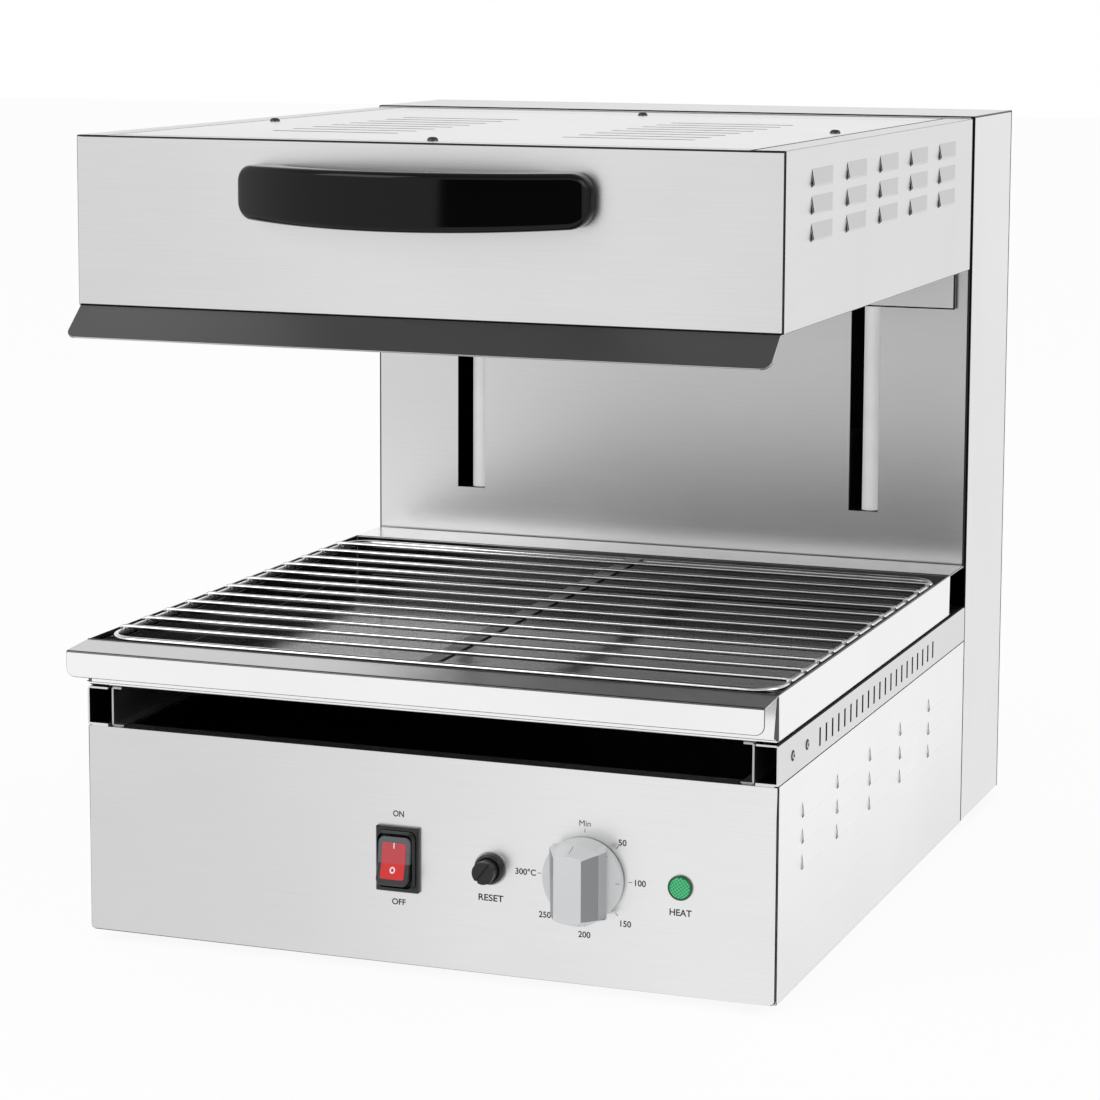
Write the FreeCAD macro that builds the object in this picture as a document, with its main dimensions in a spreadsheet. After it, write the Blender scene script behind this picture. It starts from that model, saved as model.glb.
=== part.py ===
# Electric rise and fall salamander grill for a counter.
# A heating head slides up and down on a column behind a base, over a drip pan with a wire grid.
# Millimetres. X runs to the right, Y to the back, Z up. The origin is the middle of the part's
# box, on the surface that the feet stand on.
import FreeCAD, Part
import math
import os

import Sketcher

Vector = FreeCAD.Vector
Rotation = FreeCAD.Rotation

doc = FreeCAD.newDocument("SalamanderGrill")
sheet = doc.addObject("Spreadsheet::Sheet", "Sizes")


# Sizes


ALIASES = []


class Size(float):
    """A number that remembers the formula which ties it to the sheet."""

    def __new__(cls, number, formula):
        made = float.__new__(cls, number)
        made.formula = formula
        return made

    def __add__(self, other):
        return Size(float(self) + float(other), f"({self.formula} + {formula_of(other)})")

    def __radd__(self, other):
        return Size(float(other) + float(self), f"({formula_of(other)} + {self.formula})")

    def __sub__(self, other):
        return Size(float(self) - float(other), f"({self.formula} - {formula_of(other)})")

    def __rsub__(self, other):
        return Size(float(other) - float(self), f"({formula_of(other)} - {self.formula})")

    def __mul__(self, other):
        return Size(float(self) * float(other), f"({self.formula} * {formula_of(other)})")

    def __rmul__(self, other):
        return Size(float(other) * float(self), f"({formula_of(other)} * {self.formula})")

    def __truediv__(self, other):
        return Size(float(self) / float(other), f"({self.formula} / {formula_of(other)})")

    def __neg__(self):
        return Size(-float(self), f"(-1 * {self.formula})")


def formula_of(value):
    return value.formula if isinstance(value, Size) else f"({value})"


def size(alias, number, meaning):
    """Writes one driving dimension into the sheet and gives it back as a Size."""
    ALIASES.append(alias)
    row = len(ALIASES)
    sheet.set(f"A{row}", meaning)
    sheet.set(f"B{row}", str(number))
    sheet.setAlias(f"B{row}", alias)
    return Size(number, "Sizes." + alias)


# Overall sizes and the sheet metal
body_width = size("body_width", 450, "width of base, column and head")
base_depth = size("base_depth", 460, "control panel to column front")
column_depth = size("column_depth", 118, "column front to rear cover")
column_height = size("column_height", 501.5, "floor of the case to column top")
plate = size("plate", 1.2, "thickness of the folded sheets")
seam = size("seam", 1.5, "dark gap between neighbouring sheets")

# Base
foot_height = size("foot_height", 6, "case floor above the counter")
foot_radius = size("foot_radius", 15, "rubber foot")
foot_inset = size("foot_inset", 36, "foot centre from the case edges")
foot_bolt = size("foot_bolt", 2.2, "bolt hole of a foot")
floor_vent_long = size("floor_vent_long", 150, "air slot in the floor plate")
floor_vent_wide = size("floor_vent_wide", 5, "air slot in the floor plate")
floor_vent_first = size("floor_vent_first", 150, "first air slot from the front")
floor_vent_step = size("floor_vent_step", 18, "distance between air slots")
floor_vent_count = size("floor_vent_count", 8, "air slots in the floor plate")
panel_height = size("panel_height", 131, "height of the control panel")
panel_corner = size("panel_corner", 3, "radius of the panel's lower corners")
flange = size("flange", 12, "width of a folded flange")
floor_plate = size("floor_plate", 1.5, "thickness of the floor plate")
skin_flange = size("skin_flange", 23, "top flange of a side skin")
deck_drop = size("deck_drop", 18, "inner deck below the side skins' flange")
deck_plate = size("deck_plate", 1, "thickness of the inner deck")

# Side rails and runner plates
rail_height = size("rail_height", 24.3, "height of the slotted side rail")
rail_seam = size("rail_seam", 0.7, "gap between side skin and rail")
rail_flange = size("rail_flange", 14, "width of the rail, outside to inner edge")
rail_round = size("rail_round", 2, "bend radius of the rail's upper edge")
rail_slot_wide = size("rail_slot_wide", 3.5, "width of a rail slot")
rail_slot_high = size("rail_slot_high", 11.5, "height of a rail slot")
rail_slot_first = size("rail_slot_first", 88, "first rail slot from the front")
rail_slot_step = size("rail_slot_step", 14.06, "distance between rail slots")
rail_slot_count = size("rail_slot_count", 21, "rail slots on each side")
rivet_first = size("rivet_first", 29.5, "first rail rivet from the front")
rivet_step = size("rivet_step", 30.5, "distance between the two rail rivets")
runner_gap = size("runner_gap", 1.5, "rail flange to runner plate")
runner_foot = size("runner_foot", 7, "foot of a runner plate")

# Pressed louvres in the side skins and the head's sides
louvre_long = size("louvre_long", 46, "length of a louvre")
louvre_high = size("louvre_high", 9, "height of a louvre")
louvre_rise = size("louvre_rise", 2.5, "how far a louvre stands out")
louvre_skin = size("louvre_skin", 1, "metal left over a louvre's opening")
louvre_first = size("louvre_first", 52, "front end of the first louvre")
louvre_step = size("louvre_step", 77, "distance between louvre columns")
louvre_columns = size("louvre_columns", 5, "louvre columns on each side")
louvre_row_step = size("louvre_row_step", 15.9, "distance between louvre rows")
base_louvre_drop = size("base_louvre_drop", 24.7, "first row below the skin's top")
head_louvre_drop = size("head_louvre_drop", 18.3, "first row below the head's top")

# Drip pan
slide_gap = size("slide_gap", 0.3, "running gap of flat sliding faces")
pan_height = size("pan_height", 29.7, "height of the drip pan")
pan_length = size("pan_length", 417.5, "front wall to rear wall of the pan")
pan_side_gap = size("pan_side_gap", 0.4, "pan wall inside the line of the case")
pan_round = size("pan_round", 3, "bend radius along the pan's floor")
lip_reach = size("lip_reach", 28, "pan lip ahead of the pan's front wall")
lip_height = size("lip_height", 16.5, "face of the pan lip")
lip_fall = size("lip_fall", 2, "fall of the lip towards the front")
lip_corner = size("lip_corner", 6, "radius of the lip's lower corners")
shelf_gap = size("shelf_gap", 3, "rear shelf of the pan to the column")
ledge_width = size("ledge_width", 8, "ledge in the pan that carries the grid")
pan_travel = size("pan_travel", 300, "how far the pan slides out")

# Wire grid
ring_radius = size("ring_radius", 2, "rod of the grid's frame")
wire_radius = size("wire_radius", 1.5, "wire of the grid")
wire_bite = size("wire_bite", 0.7, "how deep a wire is welded into the frame")
ring_depth = size("ring_depth", 1.7, "frame rod centre below the pan's rim")
ring_side_gap = size("ring_side_gap", 2.5, "frame rod to the pan's wall")
ring_front = size("ring_front", 14, "front rod from the pan's front")
ring_length = size("ring_length", 385, "front rod to rear rod")
ring_corner = size("ring_corner", 18, "corner radius of the grid's frame")
wire_first = size("wire_first", 39.4, "first wire from the pan's front")
wire_step = size("wire_step", 30.4, "distance between wires")
wire_count = size("wire_count", 12, "wires across the grid")
grid_bar_width = size("grid_bar_width", 12, "flat bar under the wires")
grid_bar_thick = size("grid_bar_thick", 2, "thickness of that bar")

# Controls on the front panel
control_spacing = size("control_spacing", 60, "distance between neighbouring controls")
lamp_inset = size("lamp_inset", 59, "lamp from the panel's right edge")
control_height = size("control_height", 65.7, "controls above the case floor")
bezel_width = size("bezel_width", 28, "switch bezel")
bezel_height = size("bezel_height", 40.4, "switch bezel")
bezel_thick = size("bezel_thick", 3.5, "bezel in front of the panel")
boot_width = size("boot_width", 25, "raised step of the switch")
boot_height = size("boot_height", 36, "raised step of the switch")
boot_thick = size("boot_thick", 3, "step in front of the bezel")
switch_body_depth = size("switch_body_depth", 30, "switch body behind the panel")
switch_wall = size("switch_wall", 1.6, "wall round the rocker")
rocker_half_height = size("rocker_half_height", 14.2, "middle to end of the rocker")
rocker_gap = size("rocker_gap", 0.5, "rocker to the switch wall at its sides")
rocker_pivot = size("rocker_pivot", 2, "rocker pivot ahead of the panel")
rocker_front = size("rocker_front", 5.5, "rocker ends ahead of the pivot")
rocker_crease = size("rocker_crease", 4.3, "crease ahead of the pivot")
rocker_back = size("rocker_back", 5, "rocker behind the pivot")
rocker_tilt = size("rocker_tilt", 12, "rocker angle either side of middle")
lens_half_width = size("lens_half_width", 7.2, "half width of the red lens")
lens_half_height = size("lens_half_height", 10.5, "half height of the red lens")
lens_thick = size("lens_thick", 3, "depth of the red lens from the crease")
washer_radius = size("washer_radius", 10.3, "washer under the reset nut")
washer_thick = size("washer_thick", 1, "washer under the reset nut")
nut_radius = size("nut_radius", 9.3, "reset nut")
nut_thick = size("nut_thick", 4, "reset nut")
reset_radius = size("reset_radius", 6.9, "reset button")
reset_reach = size("reset_reach", 14, "button front ahead of the panel")
reset_travel = size("reset_travel", 2, "how far the reset button goes in")
reset_stem = size("reset_stem", 2.5, "radius of the button's stem")
button_gap = size("button_gap", 0.3, "gap round the reset button")
limiter_radius = size("limiter_radius", 13, "limit switch body behind the button")
limiter_depth = size("limiter_depth", 34, "depth of that body")
knob_radius = size("knob_radius", 25, "knob skirt")
knob_reach = size("knob_reach", 31, "knob front ahead of the panel")
knob_gap = size("knob_gap", 1, "knob to the panel")
knob_front_radius = size("knob_front_radius", 20.5, "knob at its front face")
knob_shoulder = size("knob_shoulder", 18, "where the knob starts to taper")
knob_front_half = size("knob_front_half", 8.5, "half width of the grip's front face")
knob_ridge_half = size("knob_ridge_half", 15, "half width at the grip's ridge")
knob_foot_half = size("knob_foot_half", 13.5, "half width where the grip meets the skirt")
knob_skirt = size("knob_skirt", 8, "skirt thickness beside the grip")
knob_rim = size("knob_rim", 4.5, "skirt thickness at its edge")
shaft_radius = size("shaft_radius", 3, "thermostat shaft")
shaft_grip = size("shaft_grip", 15, "shaft inside the knob")
shaft_fit = size("shaft_fit", 0.05, "running clearance on a radius")
stat_size = size("stat_size", 44, "thermostat body")
stat_depth = size("stat_depth", 38, "depth of the thermostat body")
stat_neck = size("stat_neck", 5.5, "radius of the thermostat's neck")
lamp_radius = size("lamp_radius", 7.6, "green lens")
lamp_reach = size("lamp_reach", 3.2, "lens ahead of the panel")
lamp_body_radius = size("lamp_body_radius", 6, "lamp body behind the panel")
lamp_body_depth = size("lamp_body_depth", 26, "lamp body behind the panel")

# Column
column_panel_drop = size("column_panel_drop", 3, "column panel's lower edge below the pan's rim")
slot_width = size("slot_width", 21.4, "slot in the column panel")
slot_inset = size("slot_inset", 75, "slot centre from the column's side")
slot_spare = size("slot_spare", 7, "free length of a slot under the lowered arm")
slot_drop = size("slot_drop", 33.5, "slot's upper end below the column top")
rear_vent_long = size("rear_vent_long", 60, "vent in the rear cover")
rear_vent_high = size("rear_vent_high", 4, "vent in the rear cover")
rear_vent_step = size("rear_vent_step", 12, "distance between those vents")
rear_vent_count = size("rear_vent_count", 12, "vents in each stack")
rear_vent_offset = size("rear_vent_offset", 42, "stack of vents from the middle")
rear_vent_first = size("rear_vent_first", 300, "lowest vent above the case floor")
guide_radius = size("guide_radius", 6, "guide rods of the head")
guide_setback = size("guide_setback", 20, "guide rods behind the column front")
lower_bar_gap = size("lower_bar_gap", 0.5, "lowered slider block to the lower crossbar")
lower_bar_high = size("lower_bar_high", 24, "height of the lower crossbar")
lower_bar_deep = size("lower_bar_deep", 20, "depth of the lower crossbar")
rod_socket = size("rod_socket", 16, "rod end inside the lower crossbar")
upper_bar_thick = size("upper_bar_thick", 5, "thickness of the upper crossbar")
upper_bar_drop = size("upper_bar_drop", 3, "upper crossbar below the column top sheet")

# Heating head
head_height = size("head_height", 104.5, "height of the head's front")
head_drop = size("head_drop", 1.5, "head top below the column top")
head_lead = size("head_lead", 4, "head front ahead of the control panel")
head_gap = size("head_gap", 2.5, "running gap between head and column")
head_seam = size("head_seam", 1.6, "gap between head front and head side")
head_travel = size("head_travel", 165, "how far the head comes down")
rim_strip = size("rim_strip", 20.5, "strip of the head's side beside the cover")
front_strip = size("front_strip", 13.5, "strip of the head's front before the cover")
rear_strip = size("rear_strip", 36, "strip of the head's rear behind the cover")
cover_gap = size("cover_gap", 0.5, "seam round the top cover")
cover_ledge = size("cover_ledge", 18, "ledge under the cover's edge")
vent_long = size("vent_long", 84, "slot in the top cover")
vent_wide = size("vent_wide", 4, "slot in the top cover")
vent_step = size("vent_step", 30, "distance between those slots")
vent_count = size("vent_count", 8, "slots in each group")
vent_offset = size("vent_offset", 97, "group of slots from the middle")
vent_first = size("vent_first", 98, "first slot from the head's front")
cover_screw_inset = size("cover_screw_inset", 10.5, "cover screw from the cover's edge")
reflector_height = size("reflector_height", 36.5, "reflector above the head's lower edge")
reflector_plate = size("reflector_plate", 0.8, "thickness of the reflector")
insulation_thick = size("insulation_thick", 12, "ceramic fibre pad")
insulation_edge = size("insulation_edge", 24, "pad to the head's walls")
element_radius = size("element_radius", 4, "heating element tube")
element_step = size("element_step", 45, "distance between element runs")
element_inset = size("element_inset", 35, "outer run from the head's side")
element_drop = size("element_drop", 14, "element below the reflector")
element_front = size("element_front", 44, "front bend from the head's front")
element_rear = size("element_rear", 34, "tube ends from the head's rear")
element_tail = size("element_tail", 30, "tube ends above the reflector")
element_bend = size("element_bend", 15, "bend of the tube ends")
support_width = size("support_width", 12, "bar under the elements")
visor_reach = size("visor_reach", 20.5, "visor ahead of the head's front")
visor_fall = size("visor_fall", 17.3, "visor below the head's lower edge")
visor_round = size("visor_round", 6, "corner of the visor")
handle_width = size("handle_width", 224, "handle, end to end")
handle_height = size("handle_height", 35, "height of the handle's strap")
handle_reach = size("handle_reach", 46, "handle ahead of the head's front")
handle_end = size("handle_end", 12, "how far the strap's ends stand out")
handle_foot = size("handle_foot", 24, "foot of the handle on the front")
handle_strap = size("handle_strap", 9, "thickness of the strap at its middle")
handle_drop = size("handle_drop", 32.3, "handle's middle below the head's top")
handle_corner = size("handle_corner", 10, "rounded ends of the strap")
handle_screw_radius = size("handle_screw_radius", 2, "handle screw")
lift_plate_half = size("lift_plate_half", 215, "half width of the lift plate")
lift_plate_thick = size("lift_plate_thick", 3, "lift plate behind the head")
lift_plate_hang = size("lift_plate_hang", 28.5, "lift plate below the head")
lift_plate_top = size("lift_plate_top", 6, "lift plate's top below the head's top")
neck_half = size("neck_half", 7, "half width of the arm in the slot")
neck_height = size("neck_height", 60, "height of the arm in the slot")
block_half = size("block_half", 18, "half width of a slider block")
block_height = size("block_height", 80, "height of a slider block")
block_front = size("block_front", 16, "slider block ahead of the rod's axis")
block_back = size("block_back", 18, "slider block behind the rod's axis")
block_low = size("block_low", 11.5, "slider block's foot below the head")
bush_wall = size("bush_wall", 3, "wall of a bush")
bush_length = size("bush_length", 22, "length of a bush")
bolt_radius = size("bolt_radius", 3, "bolt of the lift plate")
bolt_spacing = size("bolt_spacing", 36, "upper bolt above the lower one")
carriage_thick = size("carriage_thick", 4, "bar between the slider blocks")
carriage_height = size("carriage_height", 28, "bar between the slider blocks")
clamp_half = size("clamp_half", 6, "half width of a cable clamp")
clamp_height = size("clamp_height", 18, "height of a cable clamp")

# Counterweight, cables and pulleys
cable_radius = size("cable_radius", 1.5, "lift cable")
cable_offset = size("cable_offset", 60, "cable from the middle")
cable_setback = size("cable_setback", 4, "cable behind the carriage bar")
pulley_radius = size("pulley_radius", 18, "cable's path round a pulley")
pulley_rim = size("pulley_rim", 22, "outside of a pulley")
pulley_half = size("pulley_half", 5, "half width of a pulley")
pulley_drop = size("pulley_drop", 32, "pulley's axis below the upper crossbar")
pulley_bore = size("pulley_bore", 4, "pin of a pulley")
bracket_thick = size("bracket_thick", 3, "bracket that carries a pulley")
bracket_gap = size("bracket_gap", 2.5, "pulley to its bracket")
weight_half = size("weight_half", 125, "half width of the counterweight")
weight_deep = size("weight_deep", 48, "depth of the counterweight")
weight_high = size("weight_high", 120, "height of the counterweight")
weight_gap = size("weight_gap", 2.3, "raised cable eye to the pulleys")
weight_eye = size("weight_eye", 6, "cable eye on the counterweight")
weight_rod_radius = size("weight_rod_radius", 4, "rods that guide the counterweight")
weight_rod_offset = size("weight_rod_offset", 100, "those rods from the middle")

# Supply
gland_inset = size("gland_inset", 75, "cable gland from the rear cover's edge")
gland_height = size("gland_height", 45, "cable gland above the case floor")
gland_reach = size("gland_reach", 18, "gland behind the rear cover")
gland_bore = size("gland_bore", 4.5, "bore for the supply cord")
gland_neck = size("gland_neck", 8, "thread of the gland")
gland_nut = size("gland_nut", 11.5, "nuts of the gland")
loom_radius = size("loom_radius", 3.5, "wiring loom")
loom_bend = size("loom_bend", 16, "bend of the loom")
terminal_wide = size("terminal_wide", 60, "terminal block")
terminal_deep = size("terminal_deep", 25, "terminal block")
terminal_high = size("terminal_high", 22, "terminal block")

# Screws
screw_head = size("screw_head", 3.4, "pan head of a cover screw")
screw_rise = size("screw_rise", 2.2, "height of that head")
screw_shank = size("screw_shank", 1.8, "radius of a cover screw")
screw_long = size("screw_long", 7, "length of a cover screw")
rivet_head = size("rivet_head", 3.2, "rail rivet")
rivet_rise = size("rivet_rise", 0.8, "height of a rivet's head")

# Levels above the counter and places behind the control panel
half_width = body_width / 2
inner_half = half_width - plate
crossbar_half = inner_half - plate
skin_back = base_depth + plate
case_floor = foot_height + plate
floor_top = case_floor + floor_plate
panel_top = foot_height + panel_height
rail_bottom = panel_top + rail_seam
rail_top = rail_bottom + rail_height
pan_bottom = rail_top + slide_gap
rim = pan_bottom + pan_height
column_top = foot_height + column_height
head_top = column_top - head_drop
head_bottom = head_top - head_height
head_front = -head_lead
column_back = base_depth + column_depth
head_back = base_depth - head_gap
hood_back = head_back - lift_plate_thick
control_z = foot_height + control_height
upper_bar_top = column_top - plate - upper_bar_drop
upper_bar_bottom = upper_bar_top - upper_bar_thick
guide_y = base_depth + guide_setback
carriage_front = guide_y + block_back
carriage_back = carriage_front + carriage_thick
cable_front_y = carriage_back + cable_setback
pulley_y = cable_front_y + pulley_radius
cable_rear_y = pulley_y + pulley_radius
pulley_z = upper_bar_bottom - pulley_drop
block_bottom = head_bottom - block_low
slot_offset = half_width - slot_inset
gland_offset = half_width - gland_inset
neck_bottom = head_bottom - block_low * 0.3
slot_bottom = neck_bottom - head_travel - slot_spare
slot_top = column_top - slot_drop
lower_bar_top = block_bottom - head_travel - lower_bar_gap
carriage_bottom = block_bottom + flange
carriage_top = carriage_bottom + carriage_height
weight_hook = pulley_z - pulley_rim - head_travel - weight_gap
weight_top = weight_hook - weight_eye
weight_bottom = weight_top - weight_high
lamp_x = half_width - lamp_inset
knob_x = lamp_x - control_spacing
reset_x = knob_x - control_spacing
switch_x = reset_x - control_spacing
rail_middle = rail_bottom + rail_height * 0.5
pan_half = half_width - pan_side_gap
pan_inner = pan_half - plate
ring_half = pan_inner - ring_side_gap - ring_radius
ring_z = rim - ring_depth
wire_z = ring_z + ring_radius + wire_radius - wire_bite
ledge_top = ring_z - ring_radius - slide_gap
reflector_z = head_bottom + reflector_height
element_z = reflector_z - element_drop
cover_front = head_front + front_strip + cover_gap
cover_back = hood_back - rear_strip - cover_gap
cover_half = half_width - rim_strip - cover_gap
handle_z = head_top - handle_drop
bolt_z = head_bottom + flange

# The whole part is set back so that the origin lies in the middle of its box
front_plane = (head_lead + handle_reach - column_back - gland_reach) / 2

doc.recompute()


# Helpers


SUBPARTS = []
CUTS = []
FACING = {"XY_Plane": 1, "XZ_Plane": -1, "YZ_Plane": 1}
TURN = {"x": Rotation(Vector(0, 1, 0), 90), "y": Rotation(Vector(1, 0, 0), -90), "z": Rotation()}


def bind(thing, path, value):
    """Ties a property to the formula of a size, or to a plain number."""
    thing.setExpression(path, formula_of(value))


def keep(piece, node, place=(0, front_plane, 0)):
    """Names a finished sub-part after its node and sets its placement."""
    piece.Label = node
    for axis, value in zip("xyz", place):
        bind(piece, "Placement.Base." + axis, value)
    SUBPARTS.append(piece)
    return piece


def keep_shape(shape, node, place=(0, front_plane, 0)):
    """Keeps a shape that was made from curves as a feature of its own."""
    feature = doc.addObject("Part::Feature", node)
    feature.Shape = shape
    feature.Placement = FreeCAD.Placement(Vector(*place), Rotation())
    return keep(feature, node, place)


def box(low, high):
    """A block between two corners."""
    block = doc.addObject("Part::Box", "block")
    for side, axis, start, end in zip(("Length", "Width", "Height"), "xyz", low, high):
        bind(block, side, end - start)
        bind(block, "Placement.Base." + axis, start)
    return block


def rod(axis, radius, start, length):
    """A round bar that runs from a point along an axis."""
    bar = doc.addObject("Part::Cylinder", "bar")
    bar.Placement = FreeCAD.Placement(Vector(*start), TURN[axis])
    bind(bar, "Radius", radius)
    bind(bar, "Height", length)
    for name, value in zip("xyz", start):
        bind(bar, "Placement.Base." + name, value)
    return bar


def join(*pieces):
    """Welds pieces together, or groups them when they stand apart."""
    fused = doc.addObject("Part::MultiFuse", "join")
    fused.Shapes = list(pieces)
    return fused


def cut(base, *tools):
    """Takes the tools away from the base."""
    result = doc.addObject("Part::Cut", "cut")
    result.Base = base
    result.Tool = tools[0] if len(tools) == 1 else join(*tools)
    return result


def new_body(node):
    body = doc.addObject("PartDesign::Body", node)
    return body


def origin_part(body, role):
    return next(part for part in body.Origin.OriginFeatures if part.Role == role)


def sketch_on(body, plane, start=0):
    """A sketch on one of the body's own planes, moved along that plane's normal."""
    drawing = body.newObject("Sketcher::SketchObject", "outline")
    drawing.AttachmentSupport = [(origin_part(body, plane), "")]
    drawing.MapMode = "FlatFace"
    bind(drawing, "AttachmentOffset.Base.z", FACING[plane] * start)
    return drawing


def fix_point(drawing, geometry, end, x, y):
    """Ties one point of a sketch to its distances from the sketch's origin."""
    for kind, value in (("DistanceX", x), ("DistanceY", y)):
        rule = drawing.addConstraint(Sketcher.Constraint(kind, -1, 1, geometry, end, float(value)))
        bind(drawing, f"Constraints[{rule}]", value)


def draw_outline(drawing, points):
    """A closed outline of straight lines through the points."""
    first = drawing.GeometryCount
    count = len(points)
    for index, (x, y) in enumerate(points):
        next_x, next_y = points[(index + 1) % count]
        drawing.addGeometry(Part.LineSegment(Vector(x, y, 0), Vector(next_x, next_y, 0)))
    for index in range(count):
        after = first + (index + 1) % count
        drawing.addConstraint(Sketcher.Constraint("Coincident", first + index, 2, after, 1))
    for index, (x, y) in enumerate(points):
        fix_point(drawing, first + index, 1, x, y)


def draw_rectangle(drawing, low, high):
    draw_outline(drawing, [(low[0], low[1]), (high[0], low[1]), (high[0], high[1]), (low[0], high[1])])


def draw_circle(drawing, x, y, radius):
    ring = drawing.addGeometry(Part.Circle(Vector(x, y, 0), Vector(0, 0, 1), float(radius)))
    fix_point(drawing, ring, 3, x, y)
    rule = drawing.addConstraint(Sketcher.Constraint("Radius", ring, float(radius)))
    bind(drawing, f"Constraints[{rule}]", radius)


def pad(body, drawing, plane, length):
    """Adds the sketched outline along the plane's positive axis."""
    feature = body.newObject("PartDesign::Pad", "pad")
    feature.Profile = drawing
    feature.Reversed = FACING[plane] < 0
    bind(feature, "Length", length)
    return feature


def pocket(body, drawing, plane, length):
    """Cuts the sketched outline along the plane's positive axis."""
    feature = body.newObject("PartDesign::Pocket", "pocket")
    feature.Profile = drawing
    feature.Reversed = FACING[plane] > 0
    bind(feature, "Length", length)
    CUTS.append(feature)
    return feature


def repeat(body, feature, axis, step, count):
    """Repeats a pad or pocket in a row along an axis of the body."""
    row = body.newObject("PartDesign::LinearPattern", "row")
    row.Originals = [feature]
    row.Direction = (origin_part(body, axis), [""])
    bind(row, "Length", step * (count - 1))
    bind(row, "Occurrences", count)
    body.Tip = row
    return row


def revolve(body, drawing, axis):
    """Turns the sketched outline round one of the sketch's own axes."""
    feature = body.newObject("PartDesign::Revolution", "turning")
    feature.Profile = drawing
    feature.ReferenceAxis = (drawing, [axis])
    feature.Angle = 360
    return feature


def round_edges(body, feature, chosen, radius):
    """Rounds the edges whose middle point passes the test."""
    doc.recompute()
    names = []
    for number, edge in enumerate(feature.Shape.Edges, start=1):
        if chosen(edge, edge.CenterOfMass):
            names.append(f"Edge{number}")
    rounding = body.newObject("PartDesign::Fillet", "rounding")
    rounding.Base = (feature, names)
    bind(rounding, "Radius", radius)
    return rounding


def near(value, target):
    return abs(value - target) < 0.05


def folded_sheet(node, plane, points, start, length):
    """A folded sheet: its section is drawn once and runs straight for its length."""
    body = new_body(node)
    drawing = sketch_on(body, plane, start)
    draw_outline(drawing, points)
    feature = pad(body, drawing, plane, length)
    return body, feature


def mirrored(points, side):
    return [(side * x, y) for x, y in points]


def wall_span(side, inside, outside):
    """Start of a cut through a left or right wall, towards positive X."""
    return inside if side > 0 else -outside


def tube(points, radius, bend):
    """A round tube along straight runs that are joined by tangent arcs."""
    corners = [Vector(*point) for point in points]
    edges = []
    start = corners[0]
    for before, corner, after in zip(corners, corners[1:], corners[2:]):
        inward = (before - corner).normalize()
        outward = (after - corner).normalize()
        half_turn = inward.getAngle(outward) / 2
        cut_back = bend / math.tan(half_turn)
        first = corner + inward * cut_back
        last = corner + outward * cut_back
        bisector = (inward + outward).normalize()
        middle = corner + bisector * (bend / math.sin(half_turn) - bend)
        edges.append(Part.LineSegment(start, first).toShape())
        edges.append(Part.Arc(first, middle, last).toShape())
        start = last
    edges.append(Part.LineSegment(start, corners[-1]).toShape())
    heading = corners[1] - corners[0]
    section = Part.Wire([Part.makeCircle(radius, corners[0], heading)])
    return Part.Wire(edges).makePipeShell([section], True, False)


def screw(point, direction, head_radius, head_rise, shank_radius, shank_length):
    """A domed head on a plain shank. The direction points out of the head."""
    shoulder = head_rise * 0.45
    fall = head_rise - shoulder
    crown = (head_radius * head_radius + fall * fall) / (fall * 2)
    halfway = math.sqrt(crown * crown - head_radius * head_radius / 4)
    top = Part.Arc(
        Vector(head_radius, 0, shoulder),
        Vector(head_radius / 2, 0, head_rise - crown + halfway),
        Vector(0, 0, head_rise),
    ).toShape()
    outline = Part.makePolygon([
        Vector(0, 0, head_rise),
        Vector(0, 0, -shank_length),
        Vector(shank_radius, 0, -shank_length),
        Vector(shank_radius, 0, 0),
        Vector(head_radius, 0, 0),
        Vector(head_radius, 0, shoulder),
    ])
    face = Part.Face(Part.Wire(outline.Edges + [top]))
    solid = face.revolve(Vector(0, 0, 0), Vector(0, 0, 1), 360)
    turn = Rotation(Vector(0, 0, 1), Vector(*direction))
    solid.Placement = FreeCAD.Placement(Vector(*point), turn)
    return solid


# Base


def foot_places():
    return [(x, y) for x in (foot_inset - half_width, half_width - foot_inset)
            for y in (foot_inset, column_back - foot_inset)]


def base_floor():
    """Floor plate with screw holes for the feet and a row of air slots."""
    body = new_body("base_floor")
    outline = sketch_on(body, "XY_Plane", case_floor)
    draw_rectangle(outline, (-inner_half, plate + seam), (inner_half, column_back - plate))
    pad(body, outline, "XY_Plane", floor_plate)
    holes = sketch_on(body, "XY_Plane", case_floor)
    for x, y in foot_places():
        draw_circle(holes, x, y, foot_bolt)
    pocket(body, holes, "XY_Plane", floor_plate)
    slots = sketch_on(body, "XY_Plane", case_floor)
    half = floor_vent_long / 2
    draw_rectangle(slots, (-half, floor_vent_first), (half, floor_vent_first + floor_vent_wide))
    slot = pocket(body, slots, "XY_Plane", floor_plate)
    repeat(body, slot, "Y_Axis", floor_vent_step, floor_vent_count)
    keep(body, "base_floor")


def rubber_feet():
    """Feet with a sunk bolt hole in their lower face."""
    feet = []
    holes = []
    for x, y in foot_places():
        feet.append(rod("z", foot_radius, (x, y, 0), case_floor))
        holes.append(rod("z", foot_bolt * 2, (x, y, 0), case_floor * 0.6))
        holes.append(rod("z", foot_bolt, (x, y, 0), case_floor))
    keep(cut(join(*feet), *holes), "rubber_feet")


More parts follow.
